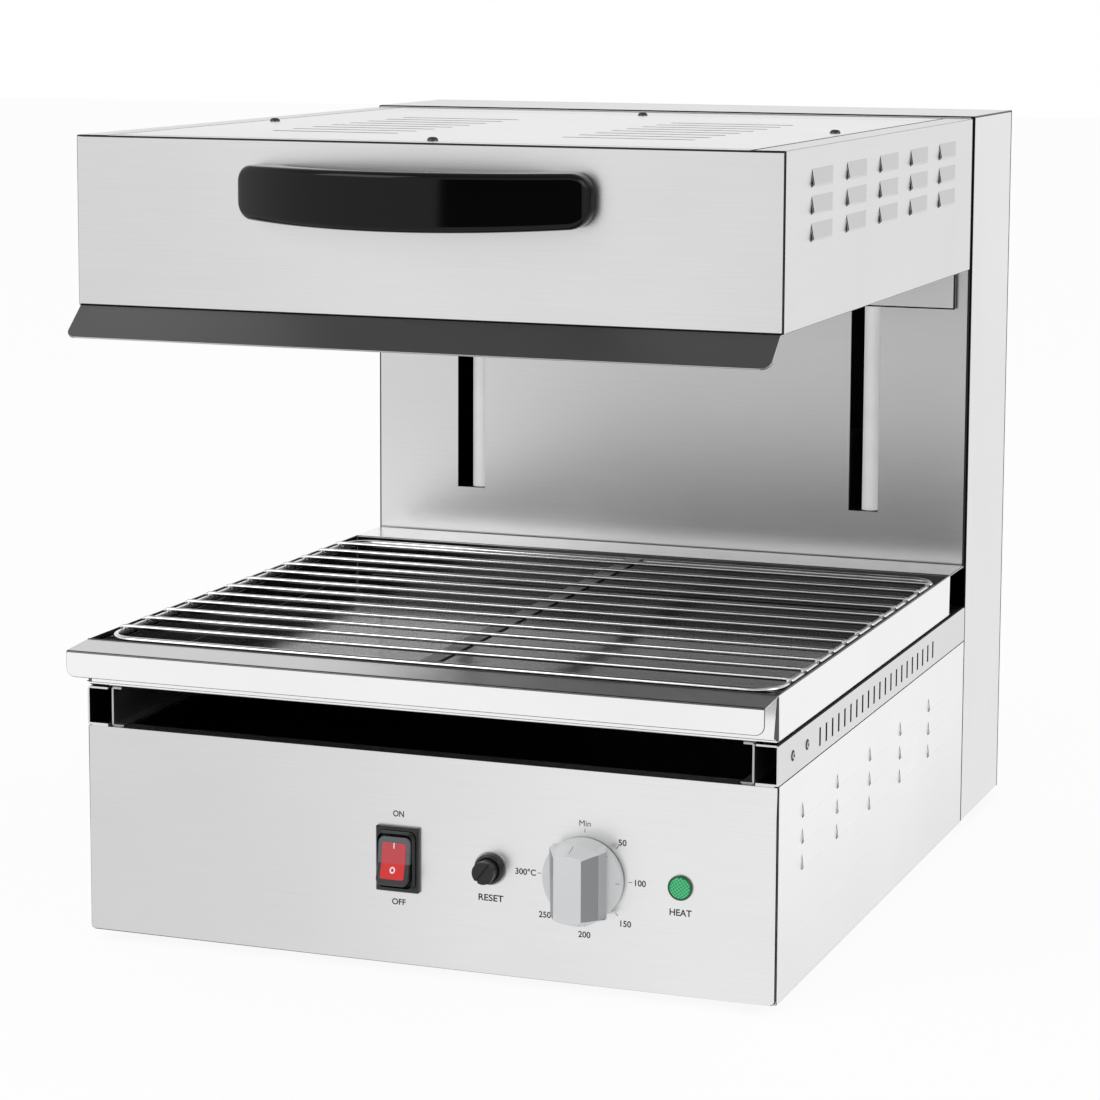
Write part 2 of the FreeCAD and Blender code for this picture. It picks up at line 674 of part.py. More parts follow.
def front_panel():
    """Control panel: a face with folded flanges at the top and bottom."""
    body = new_body("front_panel")
    face = sketch_on(body, "XZ_Plane")
    face_half = half_width - pan_side_gap
    draw_rectangle(face, (-face_half, foot_height), (face_half, panel_top))
    sheet_metal = pad(body, face, "XZ_Plane", plate)
    corners = round_edges(
        body, sheet_metal,
        lambda edge, middle: near(middle.z, foot_height) and near(abs(middle.x), face_half),
        panel_corner,
    )
    flanges = sketch_on(body, "XZ_Plane", plate)
    top_half = half_width - skin_flange - seam
    draw_rectangle(flanges, (-top_half, panel_top - plate), (top_half, panel_top))
    low_half = half_width - skin_flange
    draw_rectangle(flanges, (-low_half, foot_height), (low_half, foot_height + plate))
    pad(body, flanges, "XZ_Plane", flange)
    holes = sketch_on(body, "XZ_Plane")
    cut_half = boot_width / 2
    cut_high = boot_height / 2
    draw_rectangle(holes, (switch_x - cut_half, control_z - cut_high), (switch_x + cut_half, control_z + cut_high))
    draw_circle(holes, reset_x, control_z, reset_radius + button_gap)
    draw_circle(holes, knob_x, control_z, stat_neck)
    draw_circle(holes, lamp_x, control_z, lamp_body_radius)
    pocket(body, holes, "XZ_Plane", plate)
    keep(body, "front_panel")
    return corners


def louvres(body, side, top_row, outside):
    """Presses rows of louvres, open at their lower edge, into an upright wall."""
    rows = [top_row - louvre_row_step * row for row in range(3)]
    half = louvre_high / 2
    plane = "XZ_Plane"
    scoops = sketch_on(body, plane, louvre_first)
    for z in rows:
        outline = [(outside, z + half), (outside + louvre_rise, z - half), (outside, z - half)]
        draw_outline(scoops, mirrored(outline, side))
    scoop = pad(body, scoops, plane, louvre_long)
    repeat(body, scoop, "Y_Axis", louvre_step, louvre_columns)
    openings = sketch_on(body, plane, louvre_first + louvre_skin)
    inside = outside - plate - 0.5
    for z in rows:
        outline = [
            (inside, z + half / 1.5),
            (outside - louvre_skin * 0.6, z + half / 1.5),
            (outside + louvre_rise - louvre_skin, z - half),
            (inside, z - half),
        ]
        draw_outline(openings, mirrored(outline, side))
    opening = pocket(body, openings, plane, louvre_long - louvre_skin * 2)
    repeat(body, opening, "Y_Axis", louvre_step, louvre_columns)


def side_skin(name, side):
    """Lower side sheet with three rows of louvres and folded flanges."""
    start = plate + seam * 0.5
    section = [
        (half_width, foot_height), (half_width, panel_top),
        (half_width - skin_flange, panel_top), (half_width - skin_flange, panel_top - plate),
        (inner_half, panel_top - plate), (inner_half, case_floor),
        (half_width - flange, case_floor), (half_width - flange, foot_height),
    ]
    body, sheet_metal = folded_sheet(
        name, "XZ_Plane", mirrored(section, side), start, skin_back - start)
    louvres(body, side, panel_top - base_louvre_drop, half_width)
    keep(body, name)


def inner_deck():
    """Hat-shaped plate that closes the wiring space under the pan."""
    top = panel_top - plate
    low = top - deck_drop
    wall = half_width - skin_flange - seam
    section = [
        (inner_half - seam, top), (inner_half - seam, top - deck_plate),
        (wall, top - deck_plate), (wall, low),
        (-wall, low), (-wall, top - deck_plate),
        (seam - inner_half, top - deck_plate), (seam - inner_half, top),
        (deck_plate - wall, top), (deck_plate - wall, low + deck_plate),
        (wall - deck_plate, low + deck_plate), (wall - deck_plate, top),
    ]
    start = plate + flange + seam
    body, _ = folded_sheet("inner_deck", "XZ_Plane", section, start, base_depth - seam - start)
    keep(body, "inner_deck")


def slot_row(body, side, inside, outside):
    """Cuts the row of upright slots through a rail or a runner plate."""
    slots = sketch_on(body, "YZ_Plane", wall_span(side, inside, outside))
    half = rail_slot_wide / 2
    low = rail_bottom + (rail_height - rail_slot_high) * 0.4
    draw_rectangle(slots, (rail_slot_first - half, low), (rail_slot_first + half, low + rail_slot_high))
    slot = pocket(body, slots, "YZ_Plane", outside - inside)
    repeat(body, slot, "Y_Axis", rail_slot_step, rail_slot_count)


def side_rail(name, side):
    """Channel on top of a side skin that carries the pan."""
    inner_edge = half_width - rail_flange
    section = [
        (half_width, rail_bottom), (half_width, rail_top),
        (inner_edge, rail_top), (inner_edge, rail_top - plate),
        (inner_half, rail_top - plate), (inner_half, rail_bottom + plate),
        (inner_edge, rail_bottom + plate), (inner_edge, rail_bottom - rail_seam),
        (half_width - plate * 2, rail_bottom - rail_seam), (half_width - plate * 2, rail_bottom),
    ]
    body, sheet_metal = folded_sheet(name, "XZ_Plane", mirrored(section, side), 0, skin_back)
    round_edges(
        body, sheet_metal,
        lambda edge, middle: near(middle.z, rail_top) and near(abs(middle.x), half_width) and edge.Length > 100,
        rail_round,
    )
    slot_row(body, side, inner_half, half_width)
    holes = sketch_on(body, "YZ_Plane", wall_span(side, inner_half, half_width))
    for y in (rivet_first, rivet_first + rivet_step):
        draw_circle(holes, y, rail_middle, screw_shank)
    pocket(body, holes, "YZ_Plane", plate)
    keep(body, name)


def runner_plates():
    """Upright plates inside the rails, each on a foot on the side skin's flange."""
    plates = []
    for side in (-1, 1):
        outer = half_width - rail_flange - runner_gap
        inner = outer - plate
        toe = inner - runner_foot
        section = [
            (outer, panel_top), (outer, rail_top), (toe + runner_gap, rail_top),
            (toe + runner_gap, rail_top - plate), (inner, rail_top - plate),
            (inner, panel_top + plate), (toe, panel_top + plate), (toe, panel_top),
        ]
        start = plate + seam
        body, _ = folded_sheet("runner", "XZ_Plane", mirrored(section, side), start, skin_back - start)
        slot_row(body, side, inner, outer)
        plates.append(body)
    keep(join(*plates), "runner_plates")


def column_shell():
    """Sides and top of the column, folded from one sheet."""
    section = [
        (half_width, foot_height), (half_width, column_top), (-half_width, column_top), (-half_width, foot_height),
        (-inner_half, foot_height), (-inner_half, column_top - plate),
        (inner_half, column_top - plate), (inner_half, foot_height),
    ]
    start = base_depth + plate + seam
    back = column_back - plate
    body, _ = folded_sheet("column_shell", "XZ_Plane", section, start, back - start)
    flanges = sketch_on(body, "XZ_Plane", back - plate)
    for side in (-1, 1):
        edges = sorted((side * inner_half, side * (inner_half - flange)))
        draw_rectangle(flanges, (edges[0], floor_top), (edges[1], column_top - plate))
    pad(body, flanges, "XZ_Plane", plate)
    holes = sketch_on(body, "XZ_Plane", back - plate)
    for x, z in rear_screw_places():
        draw_circle(holes, x, z, screw_shank)
    pocket(body, holes, "XZ_Plane", plate)
    keep(body, "column_shell")


def column_front():
    """Brushed front of the column with two slots for the lifting arms and a tail behind the pan."""
    body = new_body("column_front")
    low = rim - column_panel_drop
    high = column_top - seam * 0.5
    tail_low = panel_top - plate - deck_drop
    tail_half = half_width - skin_flange - seam * 2
    face = sketch_on(body, "XZ_Plane", base_depth)
    draw_outline(face, [
        (-tail_half, tail_low), (tail_half, tail_low), (tail_half, low), (inner_half, low),
        (inner_half, high), (-inner_half, high), (-inner_half, low), (-tail_half, low),
    ])
    pad(body, face, "XZ_Plane", plate)
    returns = sketch_on(body, "XZ_Plane", base_depth + plate)
    for side in (-1, 1):
        edges = sorted((side * inner_half, side * (inner_half - plate)))
        draw_rectangle(returns, (edges[0], low), (edges[1], high - plate * 2))
    pad(body, returns, "XZ_Plane", flange)
    slots = sketch_on(body, "XZ_Plane", base_depth)
    for x in (-slot_offset, slot_offset):
        half = slot_width / 2
        draw_rectangle(slots, (x - half, slot_bottom), (x + half, slot_top))
    pocket(body, slots, "XZ_Plane", plate)
    keep(body, "column_front")


def rear_cover():
    """Back of the column, screwed on, with two stacks of vents."""
    body = new_body("rear_cover")
    start = column_back - plate
    face = sketch_on(body, "XZ_Plane", start)
    draw_rectangle(face, (-half_width, foot_height), (half_width, column_top))
    pad(body, face, "XZ_Plane", plate)
    hole = sketch_on(body, "XZ_Plane", start)
    draw_circle(hole, gland_offset, foot_height + gland_height, gland_neck)
    for x, z in rear_screw_places():
        draw_circle(hole, x, z, screw_shank)
    pocket(body, hole, "XZ_Plane", plate)
    vents = sketch_on(body, "XZ_Plane", start)
    low = foot_height + rear_vent_first
    for x in (-rear_vent_offset, rear_vent_offset):
        half = rear_vent_long / 2
        draw_rectangle(vents, (x - half, low), (x + half, low + rear_vent_high))
    vent = pocket(body, vents, "XZ_Plane", plate)
    repeat(body, vent, "Z_Axis", rear_vent_step, rear_vent_count)
    keep(body, "rear_cover")


def rear_screw_places():
    """Screws near the rear cover's edges, three up each side."""
    inset = flange * 0.7
    low = foot_height + flange
    high = column_top - flange
    places = []
    for x in (inset - half_width, half_width - inset):
        for z in (low, (low + high) / 2, high):
            places.append((x, z))
    return places


def case_screws():
    """Pan heads in the rear cover and low rivets in the side rails."""
    solids = []
    for x, z in rear_screw_places():
        solids.append(screw((x, column_back, z), (0, 1, 0), screw_head, screw_rise, screw_shank, screw_long))
    for side in (-1, 1):
        for y in (rivet_first, rivet_first + rivet_step):
            place = (side * half_width, y, rail_middle)
            solids.append(screw(place, (side, 0, 0), rivet_head, rivet_rise, screw_shank, plate))
    return solids


def guide_rods():
    rods = []
    low = lower_bar_top - rod_socket
    for x in (-slot_offset, slot_offset):
        rods.append(rod("z", guide_radius, (x, guide_y, low), upper_bar_top - low))
    keep(join(*rods), "guide_rods")


def weight_rods():
    rods = []
    for x in (-weight_rod_offset, weight_rod_offset):
        rods.append(rod("z", weight_rod_radius, (x, cable_rear_y, floor_top), upper_bar_top - floor_top))
    keep(join(*rods), "weight_rods")


def lower_crossbar():
    """Bar from side to side that holds the lower ends of the guide rods."""
    top = lower_bar_top
    front = guide_y - lower_bar_deep / 2
    bar = box((-crossbar_half, front, top - lower_bar_high), (crossbar_half, front + lower_bar_deep, top))
    sockets = []
    for x in (-slot_offset, slot_offset):
        sockets.append(rod("z", guide_radius, (x, guide_y, top - rod_socket), rod_socket))
    keep(cut(bar, *sockets), "lower_crossbar")


def upper_crossbar():
    """Plate that holds the rods' upper ends and, on brackets, the pins of the pulleys."""
    front = guide_y - guide_radius * 2
    back = cable_rear_y + weight_rod_radius * 2.5
    pieces = [box((-crossbar_half, front, upper_bar_bottom), (crossbar_half, back, upper_bar_top))]
    for side in (-1, 1):
        near_face = cable_offset + pulley_half + bracket_gap
        spans = sorted((side * near_face, side * (near_face + bracket_thick)))
        half = pulley_bore * 3
        low = pulley_z - half
        pieces.append(box((spans[0], pulley_y - half, low), (spans[1], pulley_y + half, upper_bar_bottom)))
        pin_long = pulley_half * 2 + bracket_gap * 2
        pin_start = near_face - pin_long if side > 0 else -near_face
        pieces.append(rod("x", pulley_bore, (pin_start, pulley_y, pulley_z), pin_long))
    holes = []
    for x in (-slot_offset, slot_offset):
        holes.append(rod("z", guide_radius, (x, guide_y, upper_bar_bottom), upper_bar_thick))
    for x in (-weight_rod_offset, weight_rod_offset):
        holes.append(rod("z", weight_rod_radius, (x, cable_rear_y, upper_bar_bottom), upper_bar_thick))
    keep(cut(join(*pieces), *holes), "upper_crossbar")


# Controls


def switch_housing():
    """Bezel, raised step and body of the rocker switch, with the well that the rocker moves in."""
    x, z = switch_x, control_z
    bezel = box((x - bezel_width / 2, -bezel_thick, z - bezel_height / 2), (x + bezel_width / 2, 0, z + bezel_height / 2))
    front = -bezel_thick - boot_thick
    half_wide = boot_width / 2
    half_high = boot_height / 2
    step = box((x - half_wide, front, z - half_high), (x + half_wide, switch_body_depth, z + half_high))
    well_half = half_wide - switch_wall
    well_high = half_high - switch_wall
    well_back = rocker_back + switch_wall * 2
    well = box((x - well_half, front, z - well_high), (x + well_half, well_back, z + well_high))
    keep(cut(join(bezel, step), well), "switch_housing")


def rocker_outline():
    """Side view of the rocker about its pivot: (forward distance, height)."""
    return [
        (-rocker_front, rocker_half_height), (-rocker_crease, 0), (-rocker_front, -rocker_half_height),
        (rocker_back * 0.6, -rocker_half_height * 0.85), (rocker_back, 0),
        (rocker_back * 0.6, rocker_half_height * 0.85),
    ]


def rocker_blank(half):
    body, _ = folded_sheet("rocker_blank", "YZ_Plane", rocker_outline(), -half, half * 2)
    return body


def tilt_rocker(piece):
    """Turns a piece of the switch about the pivot, lower end out."""
    piece.Placement = FreeCAD.Placement(Vector(), Rotation(Vector(1, 0, 0), -float(rocker_tilt)))
    bind(piece, "Placement.Rotation.Axis.x", 1)
    bind(piece, "Placement.Rotation.Axis.y", 0)
    bind(piece, "Placement.Rotation.Axis.z", 0)
    bind(piece, "Placement.Rotation.Angle", -rocker_tilt)


def rocker_and_lens():
    """Tilted rocker with a red lens let into its front."""
    half = boot_width / 2 - switch_wall - rocker_gap
    window_low = (-lens_half_width, -rocker_front * 2, -lens_half_height)
    window_high = (lens_half_width, lens_thick - rocker_crease, lens_half_height)
    place = (switch_x, front_plane - rocker_pivot, control_z)
    rocker = cut(rocker_blank(half), box(window_low, window_high))
    tilt_rocker(rocker)
    keep(rocker, "rocker", place)
    lens = doc.addObject("Part::Common", "lens")
    lens.Base = rocker_blank(half)
    lens.Tool = box(window_low, window_high)
    tilt_rocker(lens)
    keep(lens, "rocker_lens", place)


def reset_parts():
    """Limit switch behind the panel, washer and nut in front, and the sprung reset button."""
    bore = reset_radius + button_gap
    centre = (reset_x, 0, control_z)

    def disc(radius, start, length):
        return rod("y", radius, (centre[0], start, centre[2]), length)

    washer = cut(disc(washer_radius, -washer_thick, washer_thick), disc(bore, -washer_thick, washer_thick))
    keep(washer, "reset_washer")
    nut_front = -washer_thick - nut_thick
    nut = cut(disc(nut_radius, nut_front, nut_thick), disc(bore, nut_front, nut_thick))
    keep(nut, "reset_nut")
    well = reset_travel * 2
    housing = cut(
        disc(limiter_radius, plate, limiter_depth),
        disc(bore, plate, well),
        disc(reset_stem + button_gap, plate, limiter_depth * 0.5),
    )
    keep(housing, "limit_switch")
    cap_back = -washer_thick
    cap = disc(reset_radius, -reset_reach, reset_reach - washer_thick)
    stem = disc(reset_stem, cap_back, limiter_depth * 0.5 - reset_travel)
    groove_half = reset_stem * 0.3
    groove = box(
        (reset_x - groove_half, -reset_reach, control_z - reset_radius),
        (reset_x + groove_half, -reset_reach + groove_half * 2, control_z + reset_radius),
    )
    keep(cut(join(cap, stem), groove), "reset_button")


def thermostat():
    """Thermostat behind the panel, its shaft, and the knob with a faceted grip."""
    x, z = knob_x, control_z
    half = stat_size / 2
    back = plate + seam * 2
    case = box((x - half, back, z - half), (x + half, back + stat_depth, z + half))
    neck = rod("y", stat_neck, (x, 0, z), back)
    shaft_back = back + stat_depth * 0.4
    bore = rod("y", shaft_radius + shaft_fit, (x, 0, z), shaft_back + seam)
    keep(cut(join(case, neck), bore), "thermostat_body")
    shaft_start = -knob_gap - shaft_grip
    keep(rod("y", shaft_radius, (x, shaft_start, z), shaft_back - shaft_start), "thermostat_shaft",
         (x, front_plane + shaft_start, z))
    body = new_body("knob")
    turned = sketch_on(body, "XY_Plane")
    grip_end = -knob_gap - shaft_grip
    draw_outline(turned, [
        (shaft_radius, -knob_gap), (knob_radius, -knob_gap), (knob_radius, -knob_shoulder),
        (knob_front_radius, -knob_reach), (0, -knob_reach), (0, grip_end), (shaft_radius, grip_end),
    ])
    revolve(body, turned, "V_Axis")
    flanks = sketch_on(body, "XY_Plane", -knob_radius * 1.2)
    reach = knob_radius * 1.2
    for side in (-1, 1):
        draw_outline(flanks, mirrored([
            (knob_front_half, -knob_reach * 1.1), (knob_front_half, -knob_reach),
            (knob_ridge_half, -knob_shoulder), (knob_foot_half, -knob_skirt),
            (reach, -knob_rim), (reach, -knob_reach * 1.1),
        ], side))
    pocket(body, flanks, "XY_Plane", knob_radius * 2.4)
    keep(body, "knob", (x, front_plane, z))


def heat_lamp():
    """Green lens in front of the panel and the lamp body behind it."""
    x, z = lamp_x, control_z
    rim_part = rod("y", lamp_radius, (x, -lamp_reach * 0.4, z), lamp_reach * 0.4)
    dome = doc.addObject("Part::Cone", "dome")
    dome.Placement = FreeCAD.Placement(Vector(), Rotation(Vector(1, 0, 0), 90))
    bind(dome, "Radius1", lamp_radius)
    bind(dome, "Radius2", lamp_radius * 0.72)
    bind(dome, "Height", lamp_reach * 0.6)
    for axis, value in zip("xyz", (x, -lamp_reach * 0.4, z)):
        bind(dome, "Placement.Base." + axis, value)
    keep(join(rim_part, dome), "lamp_lens")
    tail = rod("y", lamp_body_radius * 0.7, (x, lamp_body_depth * 0.7, z), lamp_body_depth * 0.3)
    keep(join(rod("y", lamp_body_radius, (x, 0, z), lamp_body_depth * 0.7), tail), "lamp_body")


# Supply


def terminal_front():
    return column_back - foot_inset * 2


def terminal_block():
    front = terminal_front()
    low_x = gland_offset - terminal_wide / 2
    base = box((low_x, front, floor_top), (low_x + terminal_wide, front + terminal_deep, floor_top + terminal_high * 0.6))
    pieces = [base]
    ways = 5
    pitch = terminal_wide / ways
    for way in range(ways):
        start = low_x + pitch * (way + 0.2)
        pieces.append(box(
            (start, front + terminal_deep * 0.2, floor_top + terminal_high * 0.6),
            (start + pitch * 0.6, front + terminal_deep * 0.8, floor_top + terminal_high),
        ))
    keep(join(*pieces), "terminal_block")


def cable_gland():
    """Gland in the rear cover, with an open bore for the supply cord."""
    body = new_body("cable_gland")
    drawing = sketch_on(body, "YZ_Plane")
    nut_thick_out = gland_reach / 3
    draw_outline(drawing, [
        (-plate * 7, gland_bore), (gland_reach, gland_bore), (gland_reach, gland_neck),
        (gland_reach * 0.8, gland_nut * 0.87), (nut_thick_out, gland_nut * 0.87), (nut_thick_out, gland_nut),
        (0, gland_nut), (0, gland_neck), (-plate, gland_neck), (-plate, gland_nut),
        (-plate * 5.5, gland_nut), (-plate * 5.5, gland_neck), (-plate * 7, gland_neck),
    ])
    revolve(body, drawing, "H_Axis")
    keep(body, "cable_gland", (gland_offset, front_plane + column_back, foot_height + gland_height))


def wiring_loom():
    """Fixed loom from the switch, down to the floor plate and back to the terminal block."""
    low = floor_top + loom_radius + seam
    behind = switch_body_depth + loom_bend * 3
    route = [
        (switch_x, switch_body_depth, control_z), (switch_x, behind, control_z), (switch_x, behind, low),
        (gland_offset, terminal_front() - loom_bend * 3, low), (gland_offset, terminal_front(), low),
    ]
    return tube(route, loom_radius, loom_bend)


# Drip pan and grid


def drip_pan():
    """Shallow pan with a front lip, a rear shelf and two ledges for the grid."""
    body = new_body("drip_pan")
    outer = sketch_on(body, "XY_Plane", pan_bottom)
    draw_rectangle(outer, (-pan_half, 0), (pan_half, pan_length))
    block = pad(body, outer, "XY_Plane", pan_height)
    round_edges(body, block, lambda edge, middle: near(middle.z, pan_bottom), pan_round)
    inside = sketch_on(body, "XY_Plane", pan_bottom + plate)
    draw_rectangle(inside, (-pan_inner, plate), (pan_inner, pan_length - plate))
    pocket(body, inside, "XY_Plane", pan_height)
    lip = sketch_on(body, "YZ_Plane", -pan_half)
    low = rim - lip_fall - lip_height
    draw_outline(lip, [
        (plate * 0.5, rim), (-lip_reach, rim - lip_fall), (-lip_reach, low), (plate - lip_reach, low),
        (plate - lip_reach, rim - lip_fall - plate), (plate * 0.5, rim - plate),
    ])
    lip_pad = pad(body, lip, "YZ_Plane", pan_half * 2)
    face_middle = -lip_reach + plate * 0.5
    round_edges(
        body, lip_pad,
        lambda edge, middle: near(middle.z, low) and near(middle.y, face_middle) and near(edge.Length, plate),
        lip_corner,
    )
    shelf = sketch_on(body, "XY_Plane", rim - plate)
    draw_rectangle(shelf, (-pan_half, pan_length - plate), (pan_half, base_depth - shelf_gap))
    pad(body, shelf, "XY_Plane", plate)
    ledges = sketch_on(body, "XZ_Plane", ring_front)
    for side in (-1, 1):
        draw_outline(ledges, mirrored([
            (pan_inner, ledge_top), (pan_inner - ledge_width, ledge_top),
            (pan_inner - ledge_width, ledge_top - plate), (pan_inner - plate, ledge_top - plate),
            (pan_inner - plate, ledge_top - ledge_width), (pan_inner, ledge_top - ledge_width),
        ], side))
    pad(body, ledges, "XZ_Plane", ring_length)
    keep(body, "drip_pan")


def wire_grid():
    """Frame rod with round corners, twelve wires welded across it and a flat bar underneath."""
    half = float(ring_half)
    front = float(ring_front)
    back = front + float(ring_length)
    z = float(ring_z)
    corner = float(ring_corner)
    inset = corner * (1 - math.sqrt(0.5))
    edges = []
    corners = [(half, front, -1, 1), (half, back, -1, -1), (-half, back, 1, -1), (-half, front, 1, 1)]
    stops = []
    for index, (x, y, to_x, to_y) in enumerate(corners):
        along_x = Vector(x + to_x * corner, y, z)
        along_y = Vector(x, y + to_y * corner, z)
        middle = Vector(x + to_x * inset, y + to_y * inset, z)
        first, last = (along_x, along_y) if index % 2 == 0 else (along_y, along_x)
        stops.append((first, middle, last))
    for index, (first, middle, last) in enumerate(stops):
        edges.append(Part.Arc(first, middle, last).toShape())
        edges.append(Part.LineSegment(last, stops[(index + 1) % 4][0]).toShape())
    path = Part.Wire(Part.__sortEdges__(edges))
    start = edges[1].Vertexes[0].Point
    section = Part.Wire([Part.makeCircle(ring_radius, start, Vector(0, 1, 0))])
    path = Part.Wire([edges[number] for number in (1, 2, 3, 4, 5, 6, 7, 0)])
    ring = path.makePipeShell([section], True, False)
    pieces = []
    for number in range(int(wire_count)):
        y = wire_first + wire_step * number
        pieces.append(Part.makeCylinder(wire_radius, half * 2 + ring_radius, Vector(-half - ring_radius / 2, y, wire_z),
                                        Vector(1, 0, 0)))
    bar_top = wire_z - wire_radius + wire_bite
    low = Vector(-grid_bar_width / 2, front + ring_radius * 0.5, bar_top - grid_bar_thick)
    pieces.append(Part.makeBox(grid_bar_width, ring_length - ring_radius, grid_bar_thick, low))
    return ring.multiFuse(pieces).removeSplitter()


# Heating head


def hood_front():
    """Front sheet of the head with a top strip, a ledge for the cover and a lower flange."""
    back = head_front + plate
    strip_half = cover_half + cover_gap
    strip_back = head_front + front_strip
    ledge_half = strip_half - cover_ledge - seam
    face = box((-half_width, head_front, head_bottom), (half_width, back, head_top))
    strip = box((-strip_half + cover_gap, back, head_top - plate), (strip_half - cover_gap, strip_back, head_top))
    ledge = box((-ledge_half, strip_back - plate, head_top - plate * 2),
                (ledge_half, strip_back + cover_ledge, head_top - plate))
    low = box((-strip_half, back, head_bottom), (strip_half, back + flange, head_bottom + plate))
    screw_holes = []
    for x in handle_screw_places():
        screw_holes.append(rod("y", handle_screw_radius, (x, head_front, handle_z), plate))
    keep(cut(join(face, strip, ledge, low), *screw_holes), "hood_front")


def hood_side(name, side):
    """Side sheet of the head: wall with louvres, top strip, step and ledge for the cover."""
    strip = half_width - rim_strip
    section = [
        (half_width, head_bottom), (half_width, head_top), (strip, head_top), (strip, head_top - plate),
        (strip - cover_ledge, head_top - plate), (strip - cover_ledge, head_top - plate * 2),
        (strip + plate, head_top - plate * 2), (strip + plate, head_top - plate),
        (inner_half, head_top - plate), (inner_half, head_bottom + plate),
        (half_width - flange, head_bottom + plate), (half_width - flange, head_bottom),
    ]
    start = head_front + plate + head_seam
    body, _ = folded_sheet(name, "XZ_Plane", mirrored(section, side), start, hood_back - start)
    louvres(body, side, head_top - head_louvre_drop, half_width)
    keep(body, name)


def hood_rear():
    """Rear sheet of the head with the strip behind the cover."""
    front = hood_back - plate
    strip_half = cover_half + cover_gap
    strip_front = cover_back + cover_gap
    ledge_half = strip_half - cover_ledge - seam
    step = head_top - plate * 2
    wall = box((-inner_half, front, head_bottom + plate), (inner_half, hood_back, step))
    middle = box((-ledge_half, front, step), (ledge_half, hood_back, head_top - plate))
    strip = box((-strip_half + cover_gap, strip_front, head_top - plate),
                (strip_half - cover_gap, hood_back, head_top))
    ledge = box((-ledge_half, strip_front - cover_ledge, head_top - plate * 2),
                (ledge_half, strip_front + plate, head_top - plate))
    holes = []
    for x, z in lift_bolt_places():
        holes.append(rod("y", bolt_radius, (x, front, z), plate))
    keep(cut(join(wall, middle, strip, ledge), *holes), "hood_rear")


def cover_screw_places():
    """Screws at the middle of each edge of the top cover."""
    middle = (cover_front + cover_back) / 2
    side = cover_half - cover_screw_inset
    return [
        (0, cover_front + cover_screw_inset), (0, cover_back - cover_screw_inset),
        (-side, middle), (side, middle),
    ]


def top_cover():
    """Cover plate with two groups of vent slots."""
    body = new_body("top_cover")
    sheet_plane = sketch_on(body, "XY_Plane", head_top - plate)
    draw_rectangle(sheet_plane, (-cover_half, cover_front), (cover_half, cover_back))
    pad(body, sheet_plane, "XY_Plane", plate)
    holes = sketch_on(body, "XY_Plane", head_top - plate)
    for x, y in cover_screw_places():
        draw_circle(holes, x, y, screw_shank)
    pocket(body, holes, "XY_Plane", plate)
    slots = sketch_on(body, "XY_Plane", head_top - plate)
    first = head_front + vent_first
    for x in (-vent_offset, vent_offset):
        half = vent_long / 2
        draw_rectangle(slots, (x - half, first), (x + half, first + vent_wide))
    slot = pocket(body, slots, "XY_Plane", plate)
    repeat(body, slot, "Y_Axis", vent_step, vent_count)
    keep(body, "top_cover")


def top_screws():
    """Short pan head screws that only reach the cover plate's own thickness."""
    solids = []
    for x, y in cover_screw_places():
        solids.append(screw((x, y, head_top), (0, 0, 1), screw_head, screw_rise, screw_shank, plate))
    return solids


def element_runs():
    outer = half_width - element_inset
    return [outer - element_step * (3 - run) for run in range(4)]


def element_end_places():
    """Where the tube ends pass up through the reflector."""
    y = hood_back - element_rear
    return [(side * x, y) for side in (-1, 1) for x in (element_runs()[0], element_runs()[-1])]


def reflector():
    """Folded plate over the elements, with holes for the tube ends."""
    front = head_front + plate + head_seam
    back = hood_back - plate
    sheet_metal = box((-inner_half, front, reflector_z), (inner_half, back, reflector_z + reflector_plate))
    edges = []
    for side in (-1, 1):
        spans = sorted((side * inner_half, side * (inner_half - reflector_plate)))
        edges.append(box((spans[0], front, reflector_z + reflector_plate), (spans[1], back, reflector_z + flange)))
    holes = []
    for x, y in element_end_places():
        holes.append(rod("z", element_radius, (x, y, reflector_z), reflector_plate))
    keep(cut(join(sheet_metal, *edges), *holes), "reflector")


def insulation_pad():
    """Fibre pad on the reflector, with a pin hole at each corner."""
    low = reflector_z + reflector_plate
    back = hood_back - element_rear - element_radius - seam
    front = head_front + insulation_edge
    half = half_width - insulation_edge
    blanket = box((-half, front, low), (half, back, low + insulation_thick))
    pins = []
    for x in (-half + flange, half - flange):
        for y in (front + flange, back - flange):
            pins.append(rod("z", screw_shank, (x, y, low), insulation_thick))
    keep(cut(blanket, *pins), "insulation_pad")


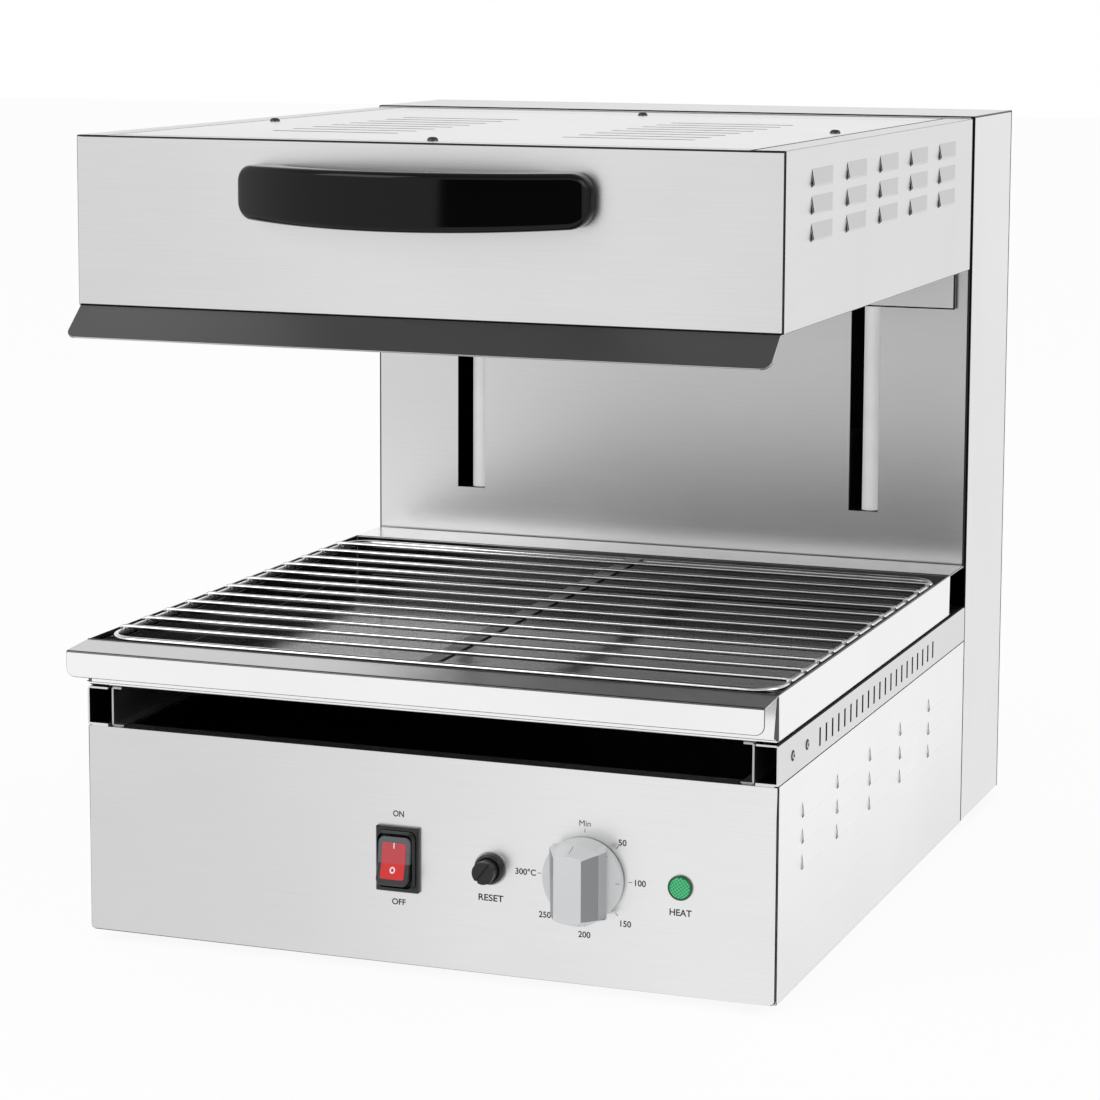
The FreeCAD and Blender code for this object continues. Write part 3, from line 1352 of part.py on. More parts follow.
def heating_element(side):
    """Serpentine tube: four runs joined by round bends, both ends turned up at the back."""
    runs = [side * x for x in element_runs()]
    bend = element_step / 2
    front = head_front + element_front
    rear = hood_back - element_rear
    turn = rear - element_bend - bend
    top = reflector_z + element_tail
    z = element_z
    edges = [
        Part.LineSegment(Vector(runs[0], rear, top), Vector(runs[0], rear, z + element_bend)).toShape(),
        quarter_up(runs[0], rear, z, -1),
    ]
    y = rear - element_bend
    for number in range(3):
        last = front + bend if number % 2 == 0 else turn
        edges.append(Part.LineSegment(Vector(runs[number], y, z), Vector(runs[number], last, z)).toShape())
        outward = -bend if number % 2 == 0 else bend
        middle_x = (runs[number] + runs[number + 1]) / 2
        arc = Part.Arc(Vector(runs[number], last, z), Vector(middle_x, last + outward, z), Vector(runs[number + 1], last, z))
        edges.append(arc.toShape())
        y = last
    edges.append(Part.LineSegment(Vector(runs[3], y, z), Vector(runs[3], rear - element_bend, z)).toShape())
    edges.append(quarter_up(runs[3], rear, z, 1))
    edges.append(Part.LineSegment(Vector(runs[3], rear, z + element_bend), Vector(runs[3], rear, top)).toShape())
    section = Part.Wire([Part.makeCircle(element_radius, Vector(runs[0], rear, top), Vector(0, 0, 1))])
    return Part.Wire(edges).makePipeShell([section], True, False)


def quarter_up(x, rear, z, way):
    """Quarter bend between a level run and an upright end."""
    level = Vector(x, rear - element_bend, z)
    upright = Vector(x, rear, z + element_bend)
    slack = element_bend * (1 - math.sqrt(0.5))
    middle = Vector(x, rear - slack, z + slack)
    first, last = (level, upright) if way > 0 else (upright, level)
    return Part.Arc(first, middle, last).toShape()


def element_supports():
    """Flat bars from side to side on which the element tubes lie."""
    top = element_z - element_radius
    span = hood_back - head_front
    bars = []
    for share in (0.28, 0.72):
        y = head_front + span * share
        bars.append(box((-inner_half, y, top - plate), (inner_half, y + support_width, top)))
    keep(join(*bars), "element_supports")


def visor():
    """Sloping sheet under the head's front, bolted to its lower flange."""
    slope = math.hypot(visor_reach, visor_fall)
    across_y = plate * visor_fall / slope
    across_z = plate * visor_reach / slope
    toe_y = head_front - visor_reach
    toe_z = head_bottom - visor_fall
    section = [
        (head_front + flange, head_bottom), (head_front, head_bottom), (toe_y, toe_z),
        (toe_y + across_y, toe_z - across_z), (head_front + plate * 0.5, head_bottom - plate),
        (head_front + flange, head_bottom - plate),
    ]
    half = half_width - seam * 0.7
    body, sheet_metal = folded_sheet("visor", "YZ_Plane", section, -half, half * 2)
    round_edges(
        body, sheet_metal,
        lambda edge, middle: near(abs(middle.x), half) and middle.z < toe_z and edge.Length < plate * 1.1,
        visor_round,
    )
    keep(body, "visor")


def handle_screw_places():
    return [side * (handle_width - handle_foot) / 2 for side in (-1, 1)]


def handle():
    """Bowed plastic strap whose two feet stand on the head's front."""
    end = handle_width / 2
    foot_edge = end - handle_foot
    face = -handle_reach
    low = -handle_height / 2
    bow = [Vector(-end, -handle_end, low), Vector(0, face, low), Vector(end, -handle_end, low)]
    inner_bow = [Vector(foot_edge, 0, low), Vector(0, face + handle_strap, low), Vector(-foot_edge, 0, low)]
    edges = [
        Part.LineSegment(Vector(-end, 0, low), bow[0]).toShape(),
        Part.Arc(*bow).toShape(),
        Part.LineSegment(bow[-1], Vector(end, 0, low)).toShape(),
        Part.LineSegment(Vector(end, 0, low), inner_bow[0]).toShape(),
        Part.Arc(*inner_bow).toShape(),
        Part.LineSegment(inner_bow[-1], Vector(-end, 0, low)).toShape(),
    ]
    strap = Part.Face(Part.Wire(edges)).extrude(Vector(0, 0, handle_height))
    outline = Part.makeBox(handle_width, handle_reach, handle_height, Vector(-end, face, low))
    corners = [edge for edge in outline.Edges if near(abs(edge.CenterOfMass.x), end) and near(edge.Length, handle_reach)]
    strap = strap.common(outline.makeFillet(handle_corner, corners))
    holes = [Part.makeCylinder(handle_screw_radius, handle_corner, Vector(x, -handle_corner, 0), Vector(0, 1, 0))
             for x in handle_screw_places()]
    return strap.cut(Part.makeCompound(holes))


def handle_screws():
    """Screws from inside the head into the handle's feet."""
    solids = []
    for x in handle_screw_places():
        place = (x, head_front + plate, handle_z)
        solids.append(screw(place, (0, 1, 0), screw_head, screw_rise, handle_screw_radius, plate + handle_corner))
    return solids


def lift_bolt_places():
    return [(x, bolt_z + rise) for x in (-slot_offset, slot_offset) for rise in (0, bolt_spacing)]


def lift_plate():
    """Plate behind the head that hangs a little below it and carries it on the arms."""
    body = new_body("lift_plate")
    face = sketch_on(body, "XZ_Plane", hood_back)
    draw_rectangle(face, (-lift_plate_half, head_bottom - lift_plate_hang),
                   (lift_plate_half, head_top - lift_plate_top))
    for x, z in lift_bolt_places():
        draw_circle(face, x, z, bolt_radius)
    pad(body, face, "XZ_Plane", lift_plate_thick)
    keep(body, "lift_plate")


def lift_bolts():
    solids = []
    bite = base_depth + plate - head_back
    for x, z in lift_bolt_places():
        place = (x, hood_back - plate, z)
        reach = plate + lift_plate_thick + bite
        solids.append(screw(place, (0, -1, 0), bolt_radius * 1.7, bolt_radius, bolt_radius, reach))
    return solids


def slider(name, side):
    """Arm through the column's slot and the block that runs on the guide rod."""
    x = side * slot_offset
    front = guide_y - block_front
    neck = box((x - neck_half, head_back, neck_bottom), (x + neck_half, front, neck_bottom + neck_height))
    block = box((x - block_half, front, block_bottom), (x + block_half, carriage_front, block_bottom + block_height))
    pocket_radius = guide_radius + shaft_fit + bush_wall
    tools = [rod("z", guide_radius + seam, (x, guide_y, block_bottom), block_height)]
    for low in (block_bottom, block_bottom + block_height - bush_length):
        tools.append(rod("z", pocket_radius, (x, guide_y, low), bush_length))
    for bolt_x, z in lift_bolt_places():
        if (bolt_x > 0) == (side > 0):
            tools.append(rod("y", bolt_radius, (bolt_x, head_back, z), base_depth + plate - head_back))
    keep(cut(join(neck, block), *tools), name)


def slider_bushes():
    """Four plain bushes, two in each slider block."""
    outer = []
    inner = []
    for x in (-slot_offset, slot_offset):
        for low in (block_bottom, block_bottom + block_height - bush_length):
            outer.append(rod("z", guide_radius + shaft_fit + bush_wall, (x, guide_y, low), bush_length))
            inner.append(rod("z", guide_radius + shaft_fit, (x, guide_y, low), bush_length))
    keep(cut(join(*outer), *inner), "slider_bushes")


def carriage_bar():
    """Bar that ties the slider blocks together, with the clamps of the lift cables."""
    half = slot_offset + block_half
    pieces = [box((-half, carriage_front, carriage_bottom), (half, carriage_back, carriage_top))]
    for x in (-cable_offset, cable_offset):
        pieces.append(box((x - clamp_half, carriage_back, carriage_top - clamp_height),
                          (x + clamp_half, cable_front_y + cable_setback, carriage_top)))
    keep(join(*pieces), "carriage_bar")


# Lift cables, pulleys and counterweight


def cables(name, y, low):
    """Two straight runs of cable up to the pulleys."""
    runs = [rod("z", cable_radius, (x, y, low), pulley_z - low) for x in (-cable_offset, cable_offset)]
    keep(join(*runs), name)


def cable_wraps():
    """Half turns of cable over the pulleys."""
    wraps = []
    for x in (-cable_offset, cable_offset):
        wrap = doc.addObject("Part::Torus", "wrap")
        wrap.Placement = FreeCAD.Placement(Vector(), Rotation(Vector(1, 1, 1), 120))
        wrap.Angle3 = 180
        bind(wrap, "Radius1", pulley_radius)
        bind(wrap, "Radius2", cable_radius)
        for axis, value in zip("xyz", (x, pulley_y, pulley_z)):
            bind(wrap, "Placement.Base." + axis, value)
        wraps.append(wrap)
    keep(join(*wraps), "cable_wraps")


def pulley(name, side):
    """Grooved wheel on a fixed pin."""
    body = new_body(name)
    drawing = sketch_on(body, "XZ_Plane")
    bore = pulley_bore + shaft_fit
    groove = pulley_radius - cable_radius - button_gap
    bottom_half = cable_radius + button_gap
    top_half = bottom_half * 1.4
    draw_outline(drawing, [
        (-pulley_half, bore), (pulley_half, bore), (pulley_half, pulley_rim), (top_half, pulley_rim),
        (bottom_half, groove), (-bottom_half, groove), (-top_half, pulley_rim), (-pulley_half, pulley_rim),
    ])
    revolve(body, drawing, "H_Axis")
    keep(body, name, (side * cable_offset, front_plane + pulley_y, pulley_z))


def counterweight():
    """Cast block with two guide holes and two cable eyes."""
    front = cable_rear_y - weight_deep / 2
    pieces = [box((-weight_half, front, weight_bottom), (weight_half, front + weight_deep, weight_top))]
    for x in (-cable_offset, cable_offset):
        pieces.append(box((x - clamp_half, cable_rear_y - clamp_half, weight_top),
                          (x + clamp_half, cable_rear_y + clamp_half, weight_hook)))
    holes = []
    for x in (-weight_rod_offset, weight_rod_offset):
        holes.append(rod("z", weight_rod_radius + shaft_fit, (x, cable_rear_y, weight_bottom), weight_high))
    keep(cut(join(*pieces), *holes), "counterweight")


# Build everything

base_floor()
rubber_feet()
front_panel()
side_skin("side_skin_left", -1)
side_skin("side_skin_right", 1)
inner_deck()
side_rail("side_rail_left", -1)
side_rail("side_rail_right", 1)
runner_plates()
column_shell()
column_front()
rear_cover()
keep_shape(Part.makeCompound(case_screws()), "case_screws")
guide_rods()
weight_rods()
lower_crossbar()
upper_crossbar()
switch_housing()
rocker_and_lens()
reset_parts()
thermostat()
heat_lamp()
terminal_block()
cable_gland()
keep_shape(wiring_loom(), "wiring_loom")
drip_pan()
keep_shape(wire_grid(), "wire_grid")
hood_front()
hood_side("hood_side_left", -1)
hood_side("hood_side_right", 1)
hood_rear()
top_cover()
keep_shape(Part.makeCompound(top_screws()), "top_screws")
reflector()
insulation_pad()
keep_shape(Part.makeCompound([heating_element(side) for side in (-1, 1)]), "heating_elements")
element_supports()
visor()
keep_shape(handle(), "handle", (0, front_plane + head_front, handle_z))
keep_shape(Part.makeCompound(handle_screws()), "handle_screws")
lift_plate()
keep_shape(Part.makeCompound(lift_bolts()), "lift_bolts")
slider("slider_left", -1)
slider("slider_right", 1)
slider_bushes()
carriage_bar()
cables("cables_front", cable_front_y, carriage_top)
cables("cables_rear", cable_rear_y, weight_hook)
cable_wraps()
pulley("pulley_left", -1)
pulley("pulley_right", 1)
counterweight()

doc.recompute()

# Check every object before anything is written

for thing in doc.Objects:
    if "Invalid" in thing.State or "Error" in thing.State:
        raise RuntimeError(f"{thing.Label} ({thing.TypeId}) failed: {thing.State}")
for feature in CUTS:
    before = feature.BaseFeature.Shape.Volume
    if feature.Shape.Volume > before - 0.01:
        raise RuntimeError(f"{feature.Label} of {feature.getParentGeoFeatureGroup().Label} cuts nothing")
for piece in SUBPARTS:
    if piece.Shape.isNull() or not piece.Shape.isValid() or piece.Shape.Volume <= 0:
        raise RuntimeError(f"{piece.Label} has no sound solid")

os.makedirs("parts", exist_ok=True)
for piece in SUBPARTS:
    piece.Shape.exportStep(os.path.join("parts", piece.Label + ".step"))

print("sub-parts:", len(SUBPARTS))
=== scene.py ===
# %% [markdown]
# # A salamander grill in brushed steel
#
# A salamander is a small electric grill for a kitchen counter. Its heating head slides up and
# down on a column, over a drip pan with a wire grid. The solid parts arrive already made, as a
# fixed frame in metres. This lesson gives them the rounded folds, pressed louvres, welded wires,
# printed words and brushed steel that make them look real.

import math

import bmesh
import bpy
from mathutils import Matrix, Vector


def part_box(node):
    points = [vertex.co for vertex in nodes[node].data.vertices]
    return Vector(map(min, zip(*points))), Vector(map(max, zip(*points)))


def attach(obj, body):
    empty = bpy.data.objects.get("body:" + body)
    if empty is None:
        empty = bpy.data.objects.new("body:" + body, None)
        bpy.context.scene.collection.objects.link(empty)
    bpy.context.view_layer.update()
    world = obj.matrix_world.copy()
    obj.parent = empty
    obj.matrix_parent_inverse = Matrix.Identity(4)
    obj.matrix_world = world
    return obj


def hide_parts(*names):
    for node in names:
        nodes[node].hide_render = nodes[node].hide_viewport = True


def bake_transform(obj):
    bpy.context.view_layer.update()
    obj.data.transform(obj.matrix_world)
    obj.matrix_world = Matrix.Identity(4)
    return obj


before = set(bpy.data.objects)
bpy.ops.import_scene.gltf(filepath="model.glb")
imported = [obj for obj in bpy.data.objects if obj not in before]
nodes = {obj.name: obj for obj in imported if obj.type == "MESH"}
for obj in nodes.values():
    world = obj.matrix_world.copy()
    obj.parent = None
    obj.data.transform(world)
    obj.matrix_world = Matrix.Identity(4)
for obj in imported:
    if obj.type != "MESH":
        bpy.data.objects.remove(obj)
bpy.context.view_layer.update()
MM = 0.001

# %% [markdown]
# ## The camera
#
# The picture is taken from the front right, a little above the grill. The camera's place and its
# long lens were worked out from the edges of the case, whose sizes are known. The lens shifts the
# view downwards, so the camera has to look down less and upright edges stay nearly parallel, as
# with a studio camera.

# %% Place the camera
CAMERA_PLACE = Vector((0.75881, -2.09486, 0.60609))
CAMERA_YAW = 0.35533
CAMERA_PITCH = 0.13341
CAMERA_ROLL = 0.00431
SENSOR = 36.0
FRAME_PIXELS = 1100
FOCAL_PIXELS = 3343.56
SHIFT_PIXELS = -130
SEEN_METRES = 50


def new_object(name, data):
    """An object in the scene that shows a mesh, a curve, a lamp or a camera."""
    made = bpy.data.objects.new(name, data)
    bpy.context.scene.collection.objects.link(made)
    return made


def camera_axes(yaw, pitch, roll):
    """Right, up and backward directions of a camera."""
    ahead = math.cos(pitch)
    forward = Vector((-math.sin(yaw) * ahead, math.cos(yaw) * ahead, -math.sin(pitch)))
    level = Vector((math.cos(yaw), math.sin(yaw), 0))
    rise = level.cross(forward)
    right = level * math.cos(roll) + rise * math.sin(roll)
    up = rise * math.cos(roll) - level * math.sin(roll)
    return right, up, -forward


camera = new_object("camera", bpy.data.cameras.new("camera"))
turned_camera = Matrix(camera_axes(CAMERA_YAW, CAMERA_PITCH, CAMERA_ROLL)).transposed().to_4x4()
camera.matrix_world = Matrix.Translation(CAMERA_PLACE) @ turned_camera
camera.data.sensor_width = SENSOR
camera.data.lens = FOCAL_PIXELS / FRAME_PIXELS * SENSOR
camera.data.shift_y = SHIFT_PIXELS / FRAME_PIXELS
camera.data.clip_end = SEEN_METRES
bpy.context.scene.camera = camera
print("lens in mm:", round(camera.data.lens, 1))

# %% [markdown]
# ## Helpers for materials
#
# Every finish is built from nodes. One function writes a node with its settings and its links,
# and one turns a colour that is written as sRGB hex into the linear values that the shader
# needs. Each finish starts from the typical values of the real material.

# %% Colours and nodes
def linear(code):
    """sRGB hex text to a linear colour with alpha."""
    channels = [int(code[start:start + 2], 16) / 255 for start in (1, 3, 5)]
    values = [c / 12.92 if c <= 0.04045 else ((c + 0.055) / 1.055) ** 2.4 for c in channels]
    return (*values, 1.0)


def add(tree, kind, **values):
    """Adds a node. The kind is Blender's name for it, without ShaderNode or GeometryNode.

    A value whose name starts with a small letter is a setting. The others are inputs, by name or
    by number: a number, a colour, another node's output, or a node, which stands for its first.
    """
    family = "" if kind.startswith("NodeGroup") else tree.type.title() + "Node"
    node = tree.nodes.new(family + kind)
    for name, value in values.items():
        if name[0].islower():
            setattr(node, name, value)
            continue
        socket = node.inputs[int(name[1:]) if name[0] == "_" else name.replace("_", " ")]
        if isinstance(value, bpy.types.Node):
            value = value.outputs[0]
        if isinstance(value, bpy.types.NodeSocket):
            tree.links.new(value, socket)
        else:
            socket.default_value = value
    return node


def new_material(name):
    """A material whose tree is ready for its shader, with its pieces' own coordinates."""
    material = bpy.data.materials.new(name)
    material.use_nodes = True
    tree = material.node_tree
    tree.nodes.clear()
    return material, tree, add(tree, "TexCoord").outputs["Object"]


def ramp(tree, factor, *stops):
    """Colours along a factor. Each stop is a place from 0 to 1 and a colour."""
    node = add(tree, "ValToRGB", Fac=factor)
    elements = node.color_ramp.elements
    elements.remove(elements[-1])
    elements[0].position = stops[0][0]
    elements[0].color = linear(stops[0][1])
    for position, code in stops[1:]:
        elements.new(position).color = linear(code)
    return node


print("a middle grey, linear:", round(linear("#808080")[0], 3))

# %% [markdown]
# ## Brushed stainless steel
#
# The case is folded from AISI 430 or 304 sheet with a number 4 finish. A belt has drawn fine
# scratches along one direction, so the reflections spread across the grain. Noise that is
# stretched along the grain gives the lines to the colour, to the roughness and to a slight bump.
# Real grit is about 0.1 mm, too fine for the picture, so the lines are drawn 0.6 mm apart. A slow
# noise adds the cloudy unevenness of thin sheet.
#
# A fade stands for the studio's large soft reflections, which change slowly over a sheet. It is an
# axis, two places along it, and the share of the tone at the first place. At the second the tone
# is whole.

# %% Brushed steel
GRAIN_APART = 0.6 * MM
GRAIN_LONG = 60 * MM
GRAIN_DEEP = 0.05 * MM
CLOUDS_PER_METRE = 7.0


def brushed_steel(name, tone, along, rough=0.36, contrast=0.06, fade=None):
    """Steel with its grain along an axis."""
    material, tree, place = new_material(name)
    scale = [1 / GRAIN_APART] * 3
    scale["XYZ".index(along)] = 1 / GRAIN_LONG
    stretched = add(tree, "Mapping", Vector=place, Scale=scale)
    grain = add(tree, "TexNoise", Vector=stretched, Scale=1.0, Detail=3.0, Roughness=0.6)
    cloud = add(tree, "TexNoise", Vector=place, Scale=CLOUDS_PER_METRE, Detail=2.0)
    light = add(tree, "MapRange", Value=grain, _3=1.0 - contrast, _4=1.0 + contrast)
    haze = add(tree, "MapRange", Value=cloud, _3=0.95, _4=1.05)
    level = add(tree, "Math", operation="MULTIPLY", _0=light, _1=haze)
    if fade:
        axis, low, high, share = fade
        parts = add(tree, "SeparateXYZ", Vector=place)
        slow = add(tree, "MapRange", interpolation_type="SMOOTHSTEP", Value=parts.outputs[axis],
                   _1=low, _2=high, _3=share, _4=1.0)
        level = add(tree, "Math", operation="MULTIPLY", _0=level, _1=slow)
    color = add(tree, "VectorMath", operation="SCALE", _0=linear(tone)[:3], Scale=level)
    matt = add(tree, "MapRange", Value=grain, _3=rough - 0.05, _4=rough + 0.07)
    bump = add(tree, "Bump", Strength=0.12, Distance=GRAIN_DEEP, Height=grain)
    shader = add(tree, "BsdfPrincipled", Base_Color=color, Metallic=1.0, Roughness=matt, Normal=bump)
    add(tree, "OutputMaterial", Surface=shader)
    return material


# Each surface's copy of the steel has its own tone, set for how brightly that surface is lit in the
# studio: painted light and shade on one metal. The lift plate, in the head's shadow, is painted
# lighter.
# Fronts and tops are brushed across, so what they mirror is drawn out up and down.
steel_front = brushed_steel("steel_brushed_across", "#E0E0E0", "X", 0.30, fade=("X", -0.24, 0.0, 0.88))
steel_base = brushed_steel("steel_brushed_control_panel", "#EAEAEA", "X", 0.30,
                           fade=("X", -0.24, 0.22, 0.8))
steel_column = brushed_steel("steel_brushed_column_front", "#D4D4D4", "X", 0.30,
                             fade=("Z", 0.20, 0.31, 1.1))
steel_top = brushed_steel("steel_brushed_top", "#F0F0F0", "X", 0.32)
steel_lift = brushed_steel("steel_brushed_lift_plate", "#F4F4F4", "X", 0.4)
# Sides are brushed from front to back, and the column's upwards. They look duller than fronts.
steel_side = brushed_steel("steel_brushed_case_side", "#F4F4F4", "Y", fade=("Z", 0.0, 0.12, 0.9))
steel_rail = brushed_steel("steel_brushed_rail", "#DEDEDE", "Y")
steel_hood_side = brushed_steel("steel_brushed_head_side", "#DEDEDE", "Y", 0.33)
steel_column_side = brushed_steel("steel_brushed_column_side", "#E8E8E8", "Z")
# The slopes of the head's louvres are painted darker than its sides: painted shade. The visor is
# painted dark as painted shade, and lighter to the left as a painted reflection.
louvre_slope_shade = brushed_steel("steel_louvre_slope_painted_shade", "#CACACA", "Y")
steel_visor = brushed_steel("steel_visor_painted_shade", "#5E5E5E", "X", 0.5, 0.05, ("X", -0.24, 0.05, 1.5))
# The pan is bright. Its inside is smoother, mirrors the head above it as clouds, and is painted dark:
# painted shade. The top of its front lip is painted darker: a painted reflection of the column and
# head.
steel_pan = brushed_steel("steel_bright_pan", "#F2F2F2", "X", 0.22, 0.03)
steel_pan_lip = brushed_steel("steel_pan_lip_painted_reflection", "#C6C6C6", "X", 0.22, 0.04)
steel_pan_inside = brushed_steel("steel_pan_inside_painted_shade", "#6A6A6A", "X", 0.13, 0.1)
# Hidden sheets keep the grey skin of the mill. Inner faces that get no light are painted nearly black:
# painted shade.
steel_plain = brushed_steel("steel_mill_finish", "#BDBDBD", "X", 0.38, 0.04)
steel_inside = brushed_steel("steel_inside_painted_shade", "#1E1E1E", "X", 0.6, 0.04)
# Folds and cut edges are painted dark, so that they show as thin lines: painted shade.
steel_fold = brushed_steel("steel_fold_painted_shade", "#303030", "X", 0.4, 0.04)
steel_fold_pan = brushed_steel("steel_pan_edge_painted_shade", "#5E5E5E", "X", 0.3, 0.04)
print("kinds of steel:", sum(material.name.startswith("steel_") for material in bpy.data.materials))

# %% [markdown]
# ## The other finishes
#
# The grid is bright drawn wire, nearly a mirror. The handle is moulded in glossy black nylon, the
# switch in satin black plastic, and the knob in ABS that is lacquered silver. The lenses are clear
# polycarbonate. Metals and opaque plastics get a noise that suits how they were made.

# %% Metal, moulded and clear
DRAWING_MARKS_PER_METRE = 900.0
MOTTLES_PER_METRE = 40.0
LENS_IOR = 1.58
LENS_BLEND = 0.4 * MM
FACET, FACET_DEEP = 1.6 * MM, 0.3 * MM
FACET_TURN = math.radians(38)


def polished_metal(name, tone, rough):
    """Bright metal with faint drawing marks about a millimetre apart."""
    material, tree, place = new_material(name)
    marks = add(tree, "TexNoise", Vector=place, Scale=DRAWING_MARKS_PER_METRE, Detail=2.0)
    matt = add(tree, "MapRange", Value=marks, _3=rough * 0.7, _4=rough * 1.4)
    shader = add(tree, "BsdfPrincipled", Base_Color=linear(tone), Metallic=1.0, Roughness=matt)
    add(tree, "OutputMaterial", Surface=shader)
    return material


def moulded(name, tone, rough, pebble=0.02 * MM, size=0.5 * MM, specular=0.5, variation=0.06,
            glow=0.0):
    """An opaque surface with the fine texture of its mould or coat, such as plastic or ink."""
    material, tree, place = new_material(name)
    texture = add(tree, "TexNoise", Vector=place, Scale=1 / size, Detail=2.0)
    cloud = add(tree, "TexNoise", Vector=place, Scale=MOTTLES_PER_METRE, Detail=2.0)
    level = add(tree, "MapRange", Value=cloud, _3=1 - variation, _4=1 + variation)
    color = add(tree, "VectorMath", operation="SCALE", _0=linear(tone)[:3], Scale=level)
    matt = add(tree, "MapRange", Value=texture, _3=rough * 0.85, _4=rough * 1.15)
    bump = add(tree, "Bump", Strength=0.3, Distance=pebble, Height=texture)
    shader = add(tree, "BsdfPrincipled", Base_Color=color, Roughness=matt, Normal=bump,
                 Specular_IOR_Level=specular, Emission_Color=color, Emission_Strength=glow)
    add(tree, "OutputMaterial", Surface=shader)
    return material


def clear_lens(name, upper, lower, glow, height):
    """Clear coloured plastic. Above a height it leans back, and its colour there is paler: a painted
    reflection of the bright room.
    """
    material, tree, place = new_material(name)
    parts = add(tree, "SeparateXYZ", Vector=place)
    half = add(tree, "MapRange", Value=parts.outputs["Z"], _1=height - LENS_BLEND,
               _2=height + LENS_BLEND)
    color = ramp(tree, half, (0.0, lower), (1.0, upper))
    shader = add(tree, "BsdfPrincipled", Base_Color=color, Roughness=0.12, IOR=LENS_IOR,
                 Emission_Color=color, Emission_Strength=glow)
    add(tree, "OutputMaterial", Surface=shader)
    return material


def faceted_lens(name, dark, light):
    """A lens whose back is pressed into small pyramids, which show as a slanted grid."""
    material, tree, place = new_material(name)
    slanted = add(tree, "Mapping", Vector=place, Rotation=(0, FACET_TURN, 0))
    scaled = add(tree, "VectorMath", operation="SCALE", _0=slanted, Scale=1 / FACET)
    parts = add(tree, "SeparateXYZ", Vector=scaled).outputs
    slopes = [add(tree, "Math", operation="PINGPONG", _0=parts[axis], _1=0.5) for axis in "XZ"]
    height = add(tree, "Math", operation="MINIMUM", _0=slopes[0], _1=slopes[1])
    color = ramp(tree, height, (0.0, light), (0.10, light), (0.16, dark), (0.5, dark))
    bump = add(tree, "Bump", Strength=0.6, Distance=FACET_DEEP, Height=height)
    shader = add(tree, "BsdfPrincipled", Base_Color=color, Roughness=0.15, IOR=LENS_IOR, Normal=bump,
                 Specular_IOR_Level=0.3, Emission_Color=color, Emission_Strength=0.3)
    add(tree, "OutputMaterial", Surface=shader)
    return material


print("pyramids in mm:", FACET / MM, "turned by degrees:", round(math.degrees(FACET_TURN)))

# %% [markdown]
# The pieces of each finish share one material. It is named for what the real one is made of and
# how, and its tone was adjusted until the render came close to the photograph.

# %% Wire, plastics, lacquer and ink
ROCKER_LOW = 1.0 * MM
before = len(bpy.data.materials)

# Drawn wire and zinc shine. The guide rods stand in the dark column, so a glow stands for the
# white room that they mirror.
wire_bright = polished_metal("wire_bright_drawn", "#DEDEDE", 0.16)
rod_bright = moulded("rod_zinc_plated", "#EDEDED", 0.35, variation=0.1, glow=0.5)
rivet_steel = polished_metal("rivet_steel", "#B8B8B8", 0.30)
# Blackening and heat scale make metal dark but leave its shine. The rivets' flange and the grid's flat
# bar are painted dark: painted shade.
screw_dark = polished_metal("screw_blackened", "#4A4A4A", 0.35)
rivet_shade = polished_metal("rivet_flange_painted_shade", "#141414", 0.5)
bar_dark = polished_metal("bar_scaled_flat_steel", "#2C2C2C", 0.3)
tube_scaled = polished_metal("tube_heat_scaled", "#5C5753", 0.45)
bronze = polished_metal("bush_sintered_bronze", "#B08A52", 0.45)
iron = moulded("iron_cast_painted", "#2A2B2D", 0.6, pebble=0.2 * MM, size=3 * MM)
# Glossy nylon mirrors the room in one clean streak, while the switch's plastic is satin.
nylon_black = moulded("nylon_black_handle", "#020202", 0.1, pebble=0.004 * MM, specular=0.22)
plastic_black = moulded("plastic_black_switch", "#1A1A1B", 0.35)
plastic_grey = moulded("plastic_grey_button", "#1E1E1F", 0.3, specular=0.35)
plastic_cream = moulded("plastic_cream_terminal", "#D8CFB4", 0.5)
cable_grey = moulded("sleeve_grey_wiring", "#85878A", 0.5)
pulley_white = moulded("acetal_white_pulley", "#D9D9D6", 0.4)
rubber_black = moulded("rubber_black_foot", "#181818", 0.7, pebble=0.08 * MM)
fibre_white = moulded("fibre_ceramic_pad", "#E6E3DA", 0.95, pebble=1.0 * MM, size=2 * MM,
                      variation=0.12)
# The knob's flanks and bevels are darker copies of the silver lacquer: painted shade.
lacquer_silver = moulded("abs_silver_lacquer", "#D2D3D4", 0.3, variation=0.03)
lacquer_flank = moulded("abs_silver_lacquer_flank_painted_shade", "#85878A", 0.4, variation=0.03)
lacquer_bevel = moulded("abs_silver_lacquer_bevel_painted_shade", "#A4A6A8", 0.4, variation=0.03)
# Ink lies flat and hardly shines.
ink_grey = moulded("ink_printed_grey", "#262626", 0.6, specular=0.2)
ink_white = moulded("ink_printed_white", "#F2F2F2", 0.5)
# The clear cover and the red window are painted paler in their upper half: painted reflection. The
# lamp's pyramids show as a light grid.
switch_low, switch_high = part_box("switch_housing")
switch_height = (switch_low.z + switch_high.z) / 2 - ROCKER_LOW
lens_red = clear_lens("lens_red_clear", "#AC3238", "#BC0C10", 0.25, switch_height)
cover_smoke = clear_lens("cover_smoky_clear", "#54565A", "#1A1B1D", 0.0, switch_height)
lens_green = faceted_lens("lens_green_faceted", "#17804A", "#4DB47E")
lamp_rim_green = moulded("lens_green_rim", "#14502F", 0.2)
print("finishes besides sheet steel:", len(bpy.data.materials) - before)

# %% [markdown]
# ## Helpers for shapes
#
# Every piece is made as a mesh in place. Its edges are rounded by Blender's bevel, its normals are
# weighed so that large faces look flat beside a rounding, and the result is kept as a plain mesh.
# Then the piece gets its finishes, and is fixed to the body that it moves with.

